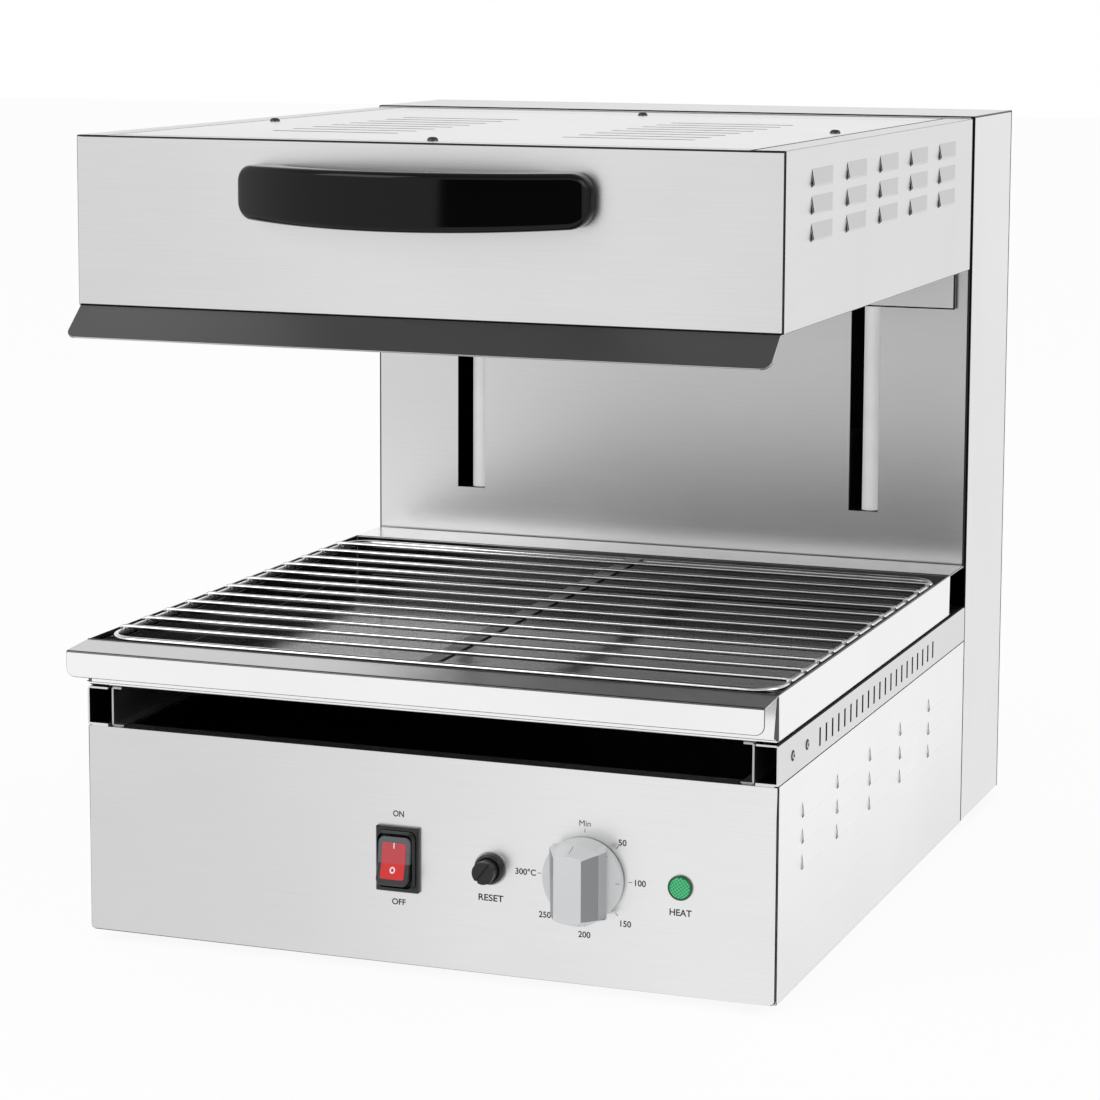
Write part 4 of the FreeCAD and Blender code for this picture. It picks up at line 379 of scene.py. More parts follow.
# %% Make and finish pieces
def new_piece(name, form):
    """A new object from a bmesh."""
    mesh = bpy.data.meshes.new(name)
    form.to_mesh(mesh)
    form.free()
    return new_object(name, mesh)


def shown_mesh(thing):
    """The mesh that a piece or a curve shows, with its modifiers applied."""
    graph = bpy.context.evaluated_depsgraph_get()
    return bpy.data.meshes.new_from_object(thing.evaluated_get(graph))


def plain_mesh(piece):
    """Applies a piece's modifiers, so that it is one plain mesh."""
    made = shown_mesh(piece)
    piece.modifiers.clear()
    piece.data = made


def shade(piece, angle):
    """Smooth shading that keeps edges sharper than the angle."""
    for polygon in piece.data.polygons:
        polygon.use_smooth = True
    sharp = math.radians(angle)
    form = bmesh.new()
    form.from_mesh(piece.data)
    for edge in form.edges:
        edge.smooth = not (len(edge.link_faces) == 2 and edge.calc_face_angle(0) > sharp)
    form.to_mesh(piece.data)
    form.free()


def weigh_normals(piece):
    """Points the normals of a rounding along the large faces beside it."""
    weigh = piece.modifiers.new("normals", "WEIGHTED_NORMAL")
    weigh.mode = "FACE_AREA"
    weigh.weight = 100
    weigh.keep_sharp = True
    plain_mesh(piece)


def round_sharp_edges(piece, width, segments=2, angle=35, finish=-1, clamp=True):
    """Bevels every edge that is sharper than the angle. The finish is the number for new faces."""
    bevel = piece.modifiers.new("edges", "BEVEL")
    bevel.material = finish
    bevel.width = width
    bevel.segments = segments
    bevel.limit_method = "ANGLE"
    bevel.angle_limit = math.radians(angle)
    bevel.use_clamp_overlap = clamp
    plain_mesh(piece)


def wear(piece, finishes):
    """Sets a piece's finishes. Faces keep the number of the one they use."""
    numbers = [polygon.material_index for polygon in piece.data.polygons]
    piece.data.materials.clear()
    for finish in finishes:
        piece.data.materials.append(finish)
    for polygon, number in zip(piece.data.polygons, numbers):
        polygon.material_index = min(number, len(finishes) - 1)


def finish_piece(piece, body, finishes, slot, *stands_for, angle=30):
    """Shades a piece, gives it its finishes, and fixes it to its body in place of frame parts."""
    wear(piece, finishes)
    shade(piece, angle)
    weigh_normals(piece)
    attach(piece, body)
    if stands_for:
        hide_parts(*stands_for)
    return piece


# %% [markdown]
# A sheet metal part from the frame has knife-sharp folds, while a real fold has a radius about
# as large as the sheet is thick. A copy of the part is cleaned of its doubled points, its flat
# triangles are joined, and a bevel rounds every fold. The copy then stands in for the part. A fold
# is told from a cut edge by its faces, which both go on for more than the sheet's thickness.

# %% Find and round the folds
SAME_POINT = 0.004 * MM
SAME_PLANE = math.radians(0.5)
FOLD_RADIUS = 1.15 * MM
FOLD_SHORTEST = 5 * MM
FOLD_LEAST = math.radians(50)
FOLD_REACH = 2.5 * MM
CUT_EDGE = 1.6 * MM
CUT_LEAST = math.radians(60)
CUT_SHARE = 0.7


def copied_form(node):
    """A frame part's shape with its doubled points merged and its flat triangles joined."""
    form = bmesh.new()
    form.from_mesh(nodes[node].data)
    bmesh.ops.remove_doubles(form, verts=form.verts, dist=SAME_POINT)
    bmesh.ops.dissolve_limit(form, angle_limit=SAME_PLANE, verts=form.verts, edges=form.edges)
    return form


def reaches_inward(edge, face):
    """True if a face goes on for some way beside the middle of one of its edges."""
    start, end = (vert.co for vert in edge.verts)
    middle = (start + end) / 2
    inward = face.normal.cross(end - start).normalized() * FOLD_REACH
    return any(bmesh.geometry.intersect_face_point(face, middle + way) for way in (inward, -inward))


def is_fold(edge):
    """True for the outer edge of a bend between two wide faces."""
    if len(edge.link_faces) != 2 or not edge.is_convex or edge.calc_length() < FOLD_SHORTEST:
        return False
    if edge.calc_face_angle(0) < FOLD_LEAST:
        return False
    return all(reaches_inward(edge, face) for face in edge.link_faces)


def mark_cut_edges(form):
    """Gives the second finish to the faces across the sheet, as narrow as it is thick."""
    for face in form.faces:
        width = 2 * face.calc_area() / face.calc_perimeter()
        bent = [edge.calc_length() for edge in face.edges if edge.calc_face_angle(0) > CUT_LEAST]
        across = sum(bent) > CUT_SHARE * face.calc_perimeter()
        face.material_index = 1 if width < CUT_EDGE and across else 0


def softened(node, body, finishes, edge, clamp):
    """A rounded copy of a sheet, which stands for it. The last finish is for folds and cuts."""
    form = copied_form(node)
    mark_cut_edges(form)
    last = len(finishes) - 1
    folds = [part for part in form.edges if is_fold(part)]
    if folds:
        bmesh.ops.bevel(form, geom=folds, offset=FOLD_RADIUS, segments=3, profile=0.5,
                        affect="EDGES", clamp_overlap=True, material=last)
    piece = new_piece(node + "_rounded", form)
    wear(piece, finishes)
    round_sharp_edges(piece, edge, segments=1, angle=40, finish=last, clamp=clamp)
    return finish_piece(piece, body, finishes, "stainless", node)


print("folds get a radius in mm:", round(FOLD_RADIUS / MM, 2))

# %% [markdown]
# ## Rounded sheets and housings
#
# The folds of the case, head, column and pan are rounded with the helper. The grain of each sheet
# runs the way it would on the real one: across the fronts and the top, and front to back on the
# sides. The larger plates have their edges broken a little more, so that the painted shade on their
# folds and cut edges shows as lines.

# %% Round the sheets
# A sheet's last finish goes on its folds and cut edges. The dark fold finishes are painted shade.
SHEETS = {
    "base": {
        "front_panel": [steel_base, steel_fold], "side_rail_left": [steel_rail],
        "side_rail_right": [steel_rail], "runner_plates": [steel_plain], "inner_deck": [steel_inside],
        "column_shell": [steel_column_side, steel_fold], "column_front": [steel_column, steel_fold],
        "rear_cover": [steel_column_side, steel_fold], "base_floor": [steel_plain],
    },
    "heating_head": {
        "hood_front": [steel_front, steel_fold], "hood_rear": [steel_top, steel_fold],
        "top_cover": [steel_top, steel_fold], "visor": [steel_visor, steel_plain],
        "lift_plate": [steel_lift, steel_fold], "reflector": [steel_plain],
    },
    "drip_pan": {"drip_pan": [steel_pan, steel_fold_pan]},
}
EDGE = 0.2 * MM
BROKEN_EDGES = {"top_cover": 0.45 * MM, "column_shell": 0.4 * MM, "lift_plate": 0.45 * MM,
                "hood_front": 0.5 * MM, "front_panel": 0.45 * MM, "drip_pan": 0.45 * MM}
sheets = {}
for body, finishes_of in SHEETS.items():
    for node, finishes in finishes_of.items():
        sheets[node] = softened(node, body, finishes, BROKEN_EDGES.get(node, EDGE),
                                clamp=node not in BROKEN_EDGES)
print("rounded sheets:", len(sheets), "faces:", sum(len(p.data.polygons) for p in sheets.values()))

# %% [markdown]
# Faces that look into the housing see almost no light, so they are painted a dark tone: painted shade.
# That is what makes the slots read as black holes. They are found as the faces whose middle lies in a
# box that is a little smaller than the sheet. The pan's inside, painted dark as painted shade, and the
# top of its front lip, painted darker as a painted reflection, are found in the same way.

# %% Darken the insides
SKIN = 0.6 * MM
PAN_FRONT = 28 * MM
LOOKS_UP = 0.95


def shadow_inside(piece, low, high, material, level=-1.0):
    """Another finish for the faces whose middle lies in a box and whose normal points up enough."""
    piece.data.materials.append(material)
    number = len(piece.data.materials) - 1
    for polygon in piece.data.polygons:
        if polygon.normal.z >= level and all(a < c < b for a, c, b in zip(low, polygon.center, high)):
            polygon.material_index = number


def box_within(node, back=0.0, front=0.0, side=SKIN, top=SKIN, low=SKIN):
    """A part's box, drawn in from each face so that only its inner faces lie inside."""
    start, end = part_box(node)
    return (start + Vector((side, front, low)), end - Vector((side, back, top)))


RAIL_INSIDE = dict(front=MM, back=MM, side=0.5 * MM, top=-MM, low=-MM)
INSIDES = {
    "column_shell": dict(front=-MM, back=-MM),
    "column_front": dict(front=SKIN, back=-MM, side=-MM),
    "rear_cover": dict(front=-MM, side=-MM, top=-MM, back=SKIN),
    "side_rail_left": RAIL_INSIDE,
    "side_rail_right": RAIL_INSIDE,
    "top_cover": dict(front=5 * MM, back=5 * MM, side=5 * MM, top=0.1 * MM, low=-MM),
}
for node, insets in INSIDES.items():
    shadow_inside(sheets[node], *box_within(node, **insets), steel_inside)

pan_low, pan_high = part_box("drip_pan")
lip_back = pan_low.y + PAN_FRONT + SKIN
# The pan's inside gets painted shade, and the top of its lip a darker painted reflection.
shadow_inside(sheets["drip_pan"], *box_within("drip_pan", front=PAN_FRONT + SKIN, top=0.2 * MM),
              steel_pan_inside)
shadow_inside(sheets["drip_pan"], pan_low - Vector((MM, MM, MM)),
              Vector((pan_high.x + MM, lip_back, pan_high.z + MM)), steel_pan_lip, LOOKS_UP)
print("sheets with a dark inside:", len(INSIDES))

# %% [markdown]
# ## Louvres pressed into the side sheets
#
# A louvre is cut along one edge and pressed outward, so that it sheds drips while warm air leaves
# through the cut. The side sheet is drawn as a thin surface with a rectangle left out for each
# louvre. One pressed scoop is repeated by Geometry Nodes over the rows and columns, its corners
# are merged with the sheet, and the whole surface gets its thickness.

# %% Repeat with Geometry Nodes
SOCKETS = {"Shape": "Object", "Columns": "Int", "Column Step": "Vector", "Rows": "Int",
           "Row Step": "Vector", "Finish": "Material"}


def repeater(name):
    """Node group that copies a shape over columns and rows, and gives it a material."""
    group = bpy.data.node_groups.new(name, "GeometryNodeTree")
    group.interface.new_socket("Geometry", in_out="INPUT", socket_type="NodeSocketGeometry")
    for title, kind in SOCKETS.items():
        group.interface.new_socket(title, in_out="INPUT", socket_type="NodeSocket" + kind)
    group.interface.new_socket("Geometry", in_out="OUTPUT", socket_type="NodeSocketGeometry")
    given = add(group, "NodeGroupInput").outputs
    columns = add(group, "MeshLine", mode="OFFSET", count_mode="TOTAL", Count=given["Columns"],
                  Offset=given["Column Step"])
    rows = add(group, "MeshLine", mode="OFFSET", count_mode="TOTAL", Count=given["Rows"],
               Offset=given["Row Step"])
    shape = add(group, "ObjectInfo", Object=given["Shape"]).outputs["Geometry"]
    column = add(group, "InstanceOnPoints", Points=rows, Instance=shape)
    field = add(group, "InstanceOnPoints", Points=columns, Instance=column)
    solid = add(group, "RealizeInstances", Geometry=field)
    finished = add(group, "SetMaterial", Geometry=solid, Material=given["Finish"])
    add(group, "NodeGroupOutput", Geometry=finished)
    return group


REPEATER = repeater("columns_and_rows")


def repeated(name, shape, columns, column_step, rows, row_step, material):
    """A plain mesh of one shape repeated over columns and rows."""
    piece = new_piece(name, bmesh.new())
    modifier = piece.modifiers.new("repeat", "NODES")
    modifier.node_group = REPEATER
    values = dict(zip(SOCKETS, (shape, columns, column_step, rows, row_step, material)))
    for item in REPEATER.interface.items_tree:
        if item.in_out == "INPUT" and item.name in values:
            modifier[item.identifier] = values[item.name]
    plain_mesh(piece)
    wear(piece, [material])
    bpy.data.objects.remove(shape)
    return piece


def joined(name, pieces, merge=0.0):
    """One piece from several plain meshes. Points that lie closer than merge become one."""
    form = bmesh.new()
    for piece in pieces:
        form.from_mesh(piece.data)
        bpy.data.objects.remove(piece)
    if merge:
        bmesh.ops.remove_doubles(form, verts=form.verts, dist=merge)
    return new_piece(name, form)


print("inputs of the repeater:", list(SOCKETS))

# %% [markdown]
# The louvres stand where the frame has them, five to a row in three rows. Each slopes outward from
# its upper edge to a lip, from which a short steep ramp leads back. Its front end is cut open, and
# its rear end runs out flat. Those of the head are pressed deeper than those of the case.

# %% Make a louvred sheet
LOUVRE_LONG = 46 * MM
LOUVRE_HIGH = 11 * MM
LOUVRE_LIP = 9.2 * MM
LOUVRE_RAMP = 7 * MM
LOUVRE_FIRST = -221 * MM
LOUVRE_STEP = 77 * MM
LOUVRE_COLUMNS = 5
ROW_STEP = 15.9 * MM
ROWS = 3
SHEET = 1.2 * MM
CUT_ROUNDING, BEND_ROUNDING = 0.4 * MM, 0.35 * MM
LEANS_BACK = 0.08


def scoop(side, wall, top, rise):
    """One pressed louvre on the wall, its upper front corner at the first place."""
    low, lip = top - LOUVRE_HIGH, top - LOUVRE_LIP
    start, end = LOUVRE_FIRST, LOUVRE_FIRST + LOUVRE_LONG
    places = [(0, start, top), (0, end, top), (rise, start, lip), (rise, end - LOUVRE_RAMP, lip),
              (0, start, low), (0, end, low)]
    form = bmesh.new()
    verts = [form.verts.new((wall + side * out, y, z)) for out, y, z in places]
    for corners in ((0, 2, 3, 1), (2, 4, 5, 3), (1, 3, 5)):
        order = corners if side > 0 else reversed(corners)
        form.faces.new([verts[index] for index in order])
    return new_piece("scoop", form)


def sheet_with_gaps(side, path, stations, wall, tops):
    """A folded sheet along a path, with a gap for each louvre."""
    levels = sorted((z for top in tops for z in (top, top - LOUVRE_HIGH)), reverse=True)
    outline = []
    for (x, z), (next_x, _) in zip(path, path[1:]):
        outline.append((x, z))
        if x == wall and next_x == wall:
            outline += [(wall, level) for level in levels]
    outline.append(path[-1])
    form = bmesh.new()
    grid = [[form.verts.new((side * x, y, z)) for x, z in outline] for y in stations]
    for column, (near, far) in enumerate(zip(grid, grid[1:])):
        for row in range(len(outline) - 1):
            if outline[row][0] == wall and outline[row][1] in tops and column % 2 == 1:
                continue
            corners = [near[row], near[row + 1], far[row + 1], far[row]]
            form.faces.new(corners if side > 0 else reversed(corners))
    return new_piece("sheet", form)


def louvred_side(node, body, side, path, first_row, rise, material, slope_finish):
    """A side sheet with its louvres. The path is its outer line in section, from the top edge."""
    start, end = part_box(node)
    wall = max(x for x, _ in path)
    tops = [first_row + LOUVRE_HIGH / 2 - ROW_STEP * row for row in range(ROWS)]
    firsts = [LOUVRE_FIRST + LOUVRE_STEP * column for column in range(LOUVRE_COLUMNS)]
    stations = [start.y, *(y for first in firsts for y in (first, first + LOUVRE_LONG)), end.y]
    sheet = sheet_with_gaps(side, path, stations, wall, tops)
    scoops = repeated("scoops", scoop(side, side * wall, tops[0], rise), LOUVRE_COLUMNS,
                      (0, LOUVRE_STEP, 0), ROWS, (0, 0, -ROW_STEP), material)
    piece = joined(node + "_pressed", [sheet, scoops], merge=0.02 * MM)
    thick = piece.modifiers.new("sheet", "SOLIDIFY")
    thick.thickness = SHEET
    thick.offset = -1
    thick.use_even_offset = True
    plain_mesh(piece)
    # Cut edges take the dark fold finish: painted shade.
    wear(piece, [material, steel_fold])
    round_sharp_edges(piece, CUT_ROUNDING, angle=80, finish=1)
    round_sharp_edges(piece, BEND_ROUNDING, angle=50, finish=0)
    finish_piece(piece, body, [material, steel_fold], "stainless", node, angle=13)
    # Faces that lean back take the slope finish, which on the head is darker: painted shade.
    piece.data.materials.append(slope_finish)
    for polygon in piece.data.polygons:
        if polygon.normal.z > LEANS_BACK and abs(polygon.normal.x) > 0.9:
            polygon.material_index = 2


print("a louvre in mm:", round(LOUVRE_LONG / MM), "x", round(LOUVRE_HIGH / MM))

# %% [markdown]
# In section the skin of the case is a wall with a flange at its top and its foot. The head's side
# has a strip along its top and a ledge beside it, one sheet's thickness lower, that carries the
# cover.

# %% Press both sides of case and head
HALF = 225 * MM
FLANGE = 12 * MM
SKIN_TOP_FLANGE = 23 * MM
STRIP = 19.2 * MM
LEDGE = 19.3 * MM
SKIN_ROW, HEAD_ROW = 24.7 * MM, 18.3 * MM
SKIN_RISE, HEAD_RISE = 1.1 * MM, 1.7 * MM
skin_low, skin_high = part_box("side_skin_right")
head_low, head_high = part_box("hood_side_right")
skin_path = [(HALF - SKIN_TOP_FLANGE, skin_high.z), (HALF, skin_high.z), (HALF, skin_low.z),
             (HALF - FLANGE, skin_low.z)]
head_path = [(HALF - STRIP - LEDGE, head_high.z - SHEET), (HALF - STRIP, head_high.z - SHEET),
             (HALF - STRIP, head_high.z), (HALF, head_high.z), (HALF, head_low.z),
             (HALF - FLANGE, head_low.z)]
for name, side in (("left", -1), ("right", 1)):
    louvred_side("side_skin_" + name, "base", side, skin_path, skin_high.z - SKIN_ROW, SKIN_RISE,
                 steel_side, steel_side)
    louvred_side("hood_side_" + name, "heating_head", side, head_path, head_high.z - HEAD_ROW,
                 HEAD_RISE, steel_hood_side, louvre_slope_shade)
print("louvres:", 4 * ROWS * LOUVRE_COLUMNS)

# %% [markdown]
# ## The handle
#
# The handle is a bowed strap moulded in glossy black nylon, 35 mm high and 9 mm thick at its
# middle. Its line in plan is one circular arc, so its section is worked out at many stations along
# the arc and joined into a tube. Its lower edge rises a little towards the ends, and the corners
# are rounded generously, because hands close on them.

# %% Mould the handle
END_DEPTH = 12 * MM
FOOT = 24 * MM
STRAP = 9 * MM
CORNER = 11 * MM
SOFT = 4 * MM
END_RISE = 3 * MM
STATIONS = 60


def arc_depth(x, half, sagitta):
    """How far a circular arc that is sagitta deep over a chord lies beyond its chord at x."""
    radius = (half * half + sagitta * sagitta) / (2 * sagitta)
    return math.sqrt(max(radius * radius - x * x, 0)) - (radius - sagitta)


def corner_cut(distance, radius):
    """How much a round corner takes away at a distance from the end."""
    if distance >= radius:
        return 0.0
    return radius - math.sqrt(radius * radius - (radius - distance) ** 2)


def joined_loops(form, loops, closed_ends=True):
    """Joins loops of equal length into a tube, with its ends closed."""
    rings = [[form.verts.new(place) for place in loop] for loop in loops]
    count = len(rings[0])
    for ring, after in zip(rings, rings[1:]):
        for index in range(count):
            following = (index + 1) % count
            form.faces.new((ring[index], after[index], after[following], ring[following]))
    if closed_ends:
        form.faces.new(rings[0])
        form.faces.new(list(reversed(rings[-1])))
    bmesh.ops.recalc_face_normals(form, faces=form.faces)


def round_corners(width, height, radius, steps=5):
    """Points round a rectangle about the origin with round corners."""
    points = []
    for sign_a, sign_b, start in ((1, 1, 0), (-1, 1, 90), (-1, -1, 180), (1, -1, 270)):
        for step in range(steps + 1):
            angle = math.radians(start + 90 * step / steps)
            points.append((sign_a * (width / 2 - radius) + radius * math.cos(angle),
                           sign_b * (height / 2 - radius) + radius * math.sin(angle)))
    return points


def handle_loop(x, low, high):
    """The handle's section at a place across."""
    half = (high.x - low.x) / 2
    reach = high.y - low.y
    edge = half - abs(x)
    front = END_DEPTH + arc_depth(x, half, reach - END_DEPTH) - corner_cut(edge, SOFT)
    back = arc_depth(x, half - FOOT, reach - STRAP) if abs(x) < half - FOOT else 0.0
    lifted = END_RISE * (x / half) ** 2
    tall = high.z - low.z - lifted - 2 * corner_cut(edge, CORNER)
    depth = front - back
    outline = round_corners(depth, tall, min(SOFT, depth * 0.45))
    y, z = high.y - back - depth / 2, (high.z + low.z) / 2 + lifted / 2
    return [(x, y + a, z + b) for a, b in outline]


handle_low, handle_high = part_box("handle")
handle_half = (handle_high.x - handle_low.x) / 2
form = bmesh.new()
across = [-handle_half * math.cos(math.pi * step / STATIONS) for step in range(STATIONS + 1)]
joined_loops(form, [handle_loop(x, handle_low, handle_high) for x in across])
finish_piece(new_piece("handle_moulded", form), "heating_head", [nylon_black], "black_plastic",
             "handle", angle=50)
handle_tall = handle_high.z - handle_low.z
print("handle in mm:", round(2 * handle_half / MM), "wide,", round(handle_tall / MM), "high")

# %% [markdown]
# ## The knob
#
# The knob is moulded in ABS and lacquered silver. Its grip has two facets on each flank, which
# are painted darker than the face: painted shade. The frame's knob is copied, its grip is made wider at
# the root, and its flanks and bevels get darker finishes of their own.

# %% Shape the knob
GRIP_LONG = 16 * MM
GRIP_WIDER = 3.2 * MM
FLANK_LEAST = 100 * MM * MM


def middle_of(node):
    """Where the middle of a part on the panel lies, across and up."""
    low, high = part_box(node)
    return (low.x + high.x) / 2, (low.z + high.z) / 2


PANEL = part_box("front_panel")[0].y
KNOB = middle_of("knob")
RESET = (middle_of("reset_nut")[0], KNOB[1])
LAMP = (middle_of("lamp_lens")[0], KNOB[1])
SWITCH = (middle_of("switch_housing")[0], KNOB[1])
knob_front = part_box("knob")[0].y

form = copied_form("knob")
for face in form.faces:
    if abs(face.normal.x) > 0.95 and face.normal.y > 0.1:
        for vert in face.verts:
            if vert.co.y > knob_front + GRIP_LONG:
                vert.co.x += math.copysign(GRIP_WIDER, vert.co.x - KNOB[0])
form.normal_update()
# Grip faces that turn to the front get the darkest lacquer, and the others a lighter one: painted
# shade, chosen by which way each face points.
for face in form.faces:
    on_grip = abs(face.normal.x) > 0.75 and face.calc_area() > FLANK_LEAST
    face.material_index = (1 if face.normal.y < -0.3 else 2) if on_grip else 0
knob = new_piece("knob_lacquered", form)
lacquers = [lacquer_silver, lacquer_flank, lacquer_bevel]
wear(knob, lacquers)
round_sharp_edges(knob, 0.35 * MM, angle=30, finish=0)
finish_piece(knob, "knob", lacquers, "silver_knob", "knob", angle=14)
print("the knob stands at", [round(v / MM, 1) for v in KNOB], "mm, across and up")

# %% [markdown]
# ## The switch
#
# The switch has an upright bezel, a soft stepped boot and a rocker with a lit red window in its
# smoky clear cover. Bezel and boot are one tube of round-cornered rectangles that goes forward
# round the bezel and back into the well. The rocker is tilted, so its caps are drawn on its face
# and turned with it.

# %% Shape the switch
# Width, height, corner radius and depth from the panel of each step, in mm.
SWITCH_STEPS = [
    (25, 36, 1, 30), (25, 36, 1, 0.3), (28, 40.4, 0.8, 0), (28, 40.4, 0.8, -2.3),
    (26.4, 38.8, 0.8, -3.3), (25.6, 36.6, 4.6, -3.3), (25.6, 36.6, 4.6, -2.6), (25, 36, 4.4, -2.6),
    (25, 36, 4.4, -4.4), (24, 35, 4.2, -4.7), (23.9, 34.9, 4.2, -5.6), (23.5, 34.5, 4, -6.4),
    (22.7, 33.7, 3.6, -6.4), (22.5, 33.5, 3.4, -1),
]
ROCKER_TILT = math.radians(12)
ROCKER_HALF = 14.2 * MM
ROCKER_END = 7.6 * MM
ROCKER_MIDDLE = 6.2 * MM
PIVOT_DEPTH = 2 * MM
PIVOT = Vector((SWITCH[0], PANEL - PIVOT_DEPTH, SWITCH[1] - ROCKER_LOW))

form = bmesh.new()
loops = []
for width, height, radius, depth in SWITCH_STEPS:
    outline = round_corners(width * MM, height * MM, radius * MM)
    loops.append([(SWITCH[0] + a, PANEL + depth * MM, SWITCH[1] + b) for a, b in outline])
joined_loops(form, loops)
finish_piece(new_piece("switch_frame", form), "base", [plastic_black], "black_plastic",
             "switch_housing", angle=35)


def rocker_place(across, up, lift):
    """A point on the rocker's face, lifted off it, in the frame's axes."""
    slope = (ROCKER_END - ROCKER_MIDDLE) / ROCKER_HALF
    forward = ROCKER_MIDDLE + slope * abs(up) + lift
    cos, sin = math.cos(ROCKER_TILT), math.sin(ROCKER_TILT)
    return PIVOT + Vector((across, up * sin - forward * cos, up * cos + forward * sin))


def rocker_cap(name, width, height, radius, levels, finish, slot, stands_for):
    """A cap on the rocker. Each level is how far it is drawn in, and how far it is off the face."""
    form = bmesh.new()
    loops = []
    for inset, lift in levels:
        wide, high = width - inset * 2, height - inset * 2
        corners = round_corners(wide, high, max(radius - inset, 0.3 * MM))
        upper, lower = corners[:len(corners) // 2], corners[len(corners) // 2:]
        outline = [*upper, (-wide / 2, 0), *lower, (wide / 2, 0)]
        loops.append([rocker_place(across, up, lift) for across, up in outline])
    joined_loops(form, loops, closed_ends=False)
    form.verts.ensure_lookup_table()
    count = len(loops[0])
    half = count // 2
    for first in (0, count * (len(loops) - 1)):
        ring = [form.verts[first + index] for index in range(count)]
        form.faces.new([ring[-1], *ring[:half]])
        form.faces.new([ring[half - 1], *ring[half:]])
    bmesh.ops.recalc_face_normals(form, faces=form.faces)
    finish_piece(new_piece(name, form), "rocker", [finish], slot, stands_for, angle=20)


rocker_cap("rocker_cover", 21.4 * MM, 29.6 * MM, 4 * MM,
           [(0.8 * MM, -8 * MM), (0, -5 * MM), (0, -0.8 * MM), (0.3 * MM, -0.2 * MM), (0.9 * MM, 0)],
           cover_smoke, "black_plastic", "rocker")
rocker_cap("rocker_window", 15.6 * MM, 22.0 * MM, 1.2 * MM,
           [(0, -1.5 * MM), (0, 0.1 * MM), (0.25 * MM, 0.25 * MM)], lens_red, "red_lens", "rocker_lens")
print("rocker, tilt in degrees:", round(math.degrees(ROCKER_TILT)))

# %% [markdown]
# ## Ink
#
# A printed mark is drawn flat, made a mesh, given the few hundredths of a millimetre that ink is
# thick, and laid on its surface point by point. The rocker carries a white bar for on and a ring
# for off.

# %% Print a surface
CAPITAL = 0.73
INK_THICK = 0.03 * MM
RING_STEPS = 28
WINDOW_LIFT = 0.27 * MM


def mesh_of_curve(name, curve):
    """The mesh of a curve or a text."""
    drawn = new_object(name, curve)
    bpy.context.view_layer.update()
    mesh = shown_mesh(drawn)
    bpy.data.objects.remove(drawn)
    return mesh


def flat_text(text, height, squeeze, weight):
    """Letters as one flat mesh about the origin, of a given capital height."""
    curve = bpy.data.curves.new("letters_" + text, "FONT")
    curve.body = text
    curve.align_x = "CENTER"
    curve.align_y = "CENTER"
    curve.offset = weight
    curve.size = 1.0
    mesh = mesh_of_curve("letters", curve)
    scale = height / CAPITAL
    for vert in mesh.vertices:
        vert.co = Vector((vert.co.x * scale * squeeze, vert.co.y * scale, 0))
    heights = [vert.co.y for vert in mesh.vertices]
    middle = (min(heights) + max(heights)) / 2
    for vert in mesh.vertices:
        vert.co.y -= middle
    return mesh


def ring_mesh(wide, high, line):
    """A flat oval ring."""
    verts = []
    for step in range(RING_STEPS):
        angle = 2 * math.pi * step / RING_STEPS
        for inset in (0, line):
            half_wide, half_high = wide / 2 - inset, high / 2 - inset
            verts.append((half_wide * math.cos(angle), half_high * math.sin(angle), 0))
    starts = [(step * 2, (step + 1) % RING_STEPS * 2) for step in range(RING_STEPS)]
    mesh = bpy.data.meshes.new("ring")
    mesh.from_pydata(verts, [], [(here, after, after + 1, here + 1) for here, after in starts])
    return mesh


def bar_mesh(width, height, turn=0.0):
    """A flat bar, turned clockwise."""
    mesh = bpy.data.meshes.new("bar")
    cos, sin = math.cos(turn), math.sin(turn)
    corners = [(a * width / 2, b * height / 2) for a, b in ((-1, -1), (1, -1), (1, 1), (-1, 1))]
    places = [(x * cos + y * sin, y * cos - x * sin, 0) for x, y in corners]
    mesh.from_pydata(places, [], [(0, 1, 2, 3)])
    return mesh


def printed(name, marks, place, body, ink, slot):
    """Joins flat marks into one printed layer. Each mark is a mesh and where its middle lies."""
    form = bmesh.new()
    for mesh, centre in marks:
        first = len(form.verts)
        form.from_mesh(mesh)
        form.verts.ensure_lookup_table()
        for vert in form.verts[first:]:
            vert.co = Vector((vert.co.x + centre[0], vert.co.y + centre[1], 0))
    bmesh.ops.remove_doubles(form, verts=form.verts, dist=0.002 * MM)
    layer = bmesh.ops.extrude_face_region(form, geom=list(form.faces))
    for part in layer["geom"]:
        if isinstance(part, bmesh.types.BMVert):
            part.co.z = INK_THICK
    for vert in form.verts:
        vert.co = place(vert.co.x, vert.co.y, vert.co.z)
    bmesh.ops.recalc_face_normals(form, faces=form.faces)
    return finish_piece(new_piece(name, form), body, [ink], slot, angle=60)


def on_window(x, z, lift):
    """A point of the drawing, laid on the rocker's window."""
    return rocker_place(x, z, WINDOW_LIFT + lift)


switch_marks = [(bar_mesh(0.65 * MM, 3.4 * MM), (0, 9.4 * MM)),
                (ring_mesh(3.5 * MM, 4.0 * MM, 0.75 * MM), (0, -5.4 * MM))]
printed("switch_marks", switch_marks, on_window, "rocker", ink_white, "silver_knob")
print("marks on the rocker:", len(switch_marks))

# %% [markdown]
# ## Reset button and lamp
#
# Both are round. The button's cap has a slot across it. It is copied from the frame and turned, so
# that the slot leans as it does in the photograph. The nut round it, the lamp's rim and its domed
# lens are outlines that are turned about an axis, as on a lathe.

# %% Turn the button and the lamp
RESET_TURN = math.radians(-36)
NUT_BORE = 7.2 * MM
DOME_INSET = 1.2 * MM
DOME_HIGH = 1.5 * MM
DOME_STEPS = 7
TURN_STEPS = 48


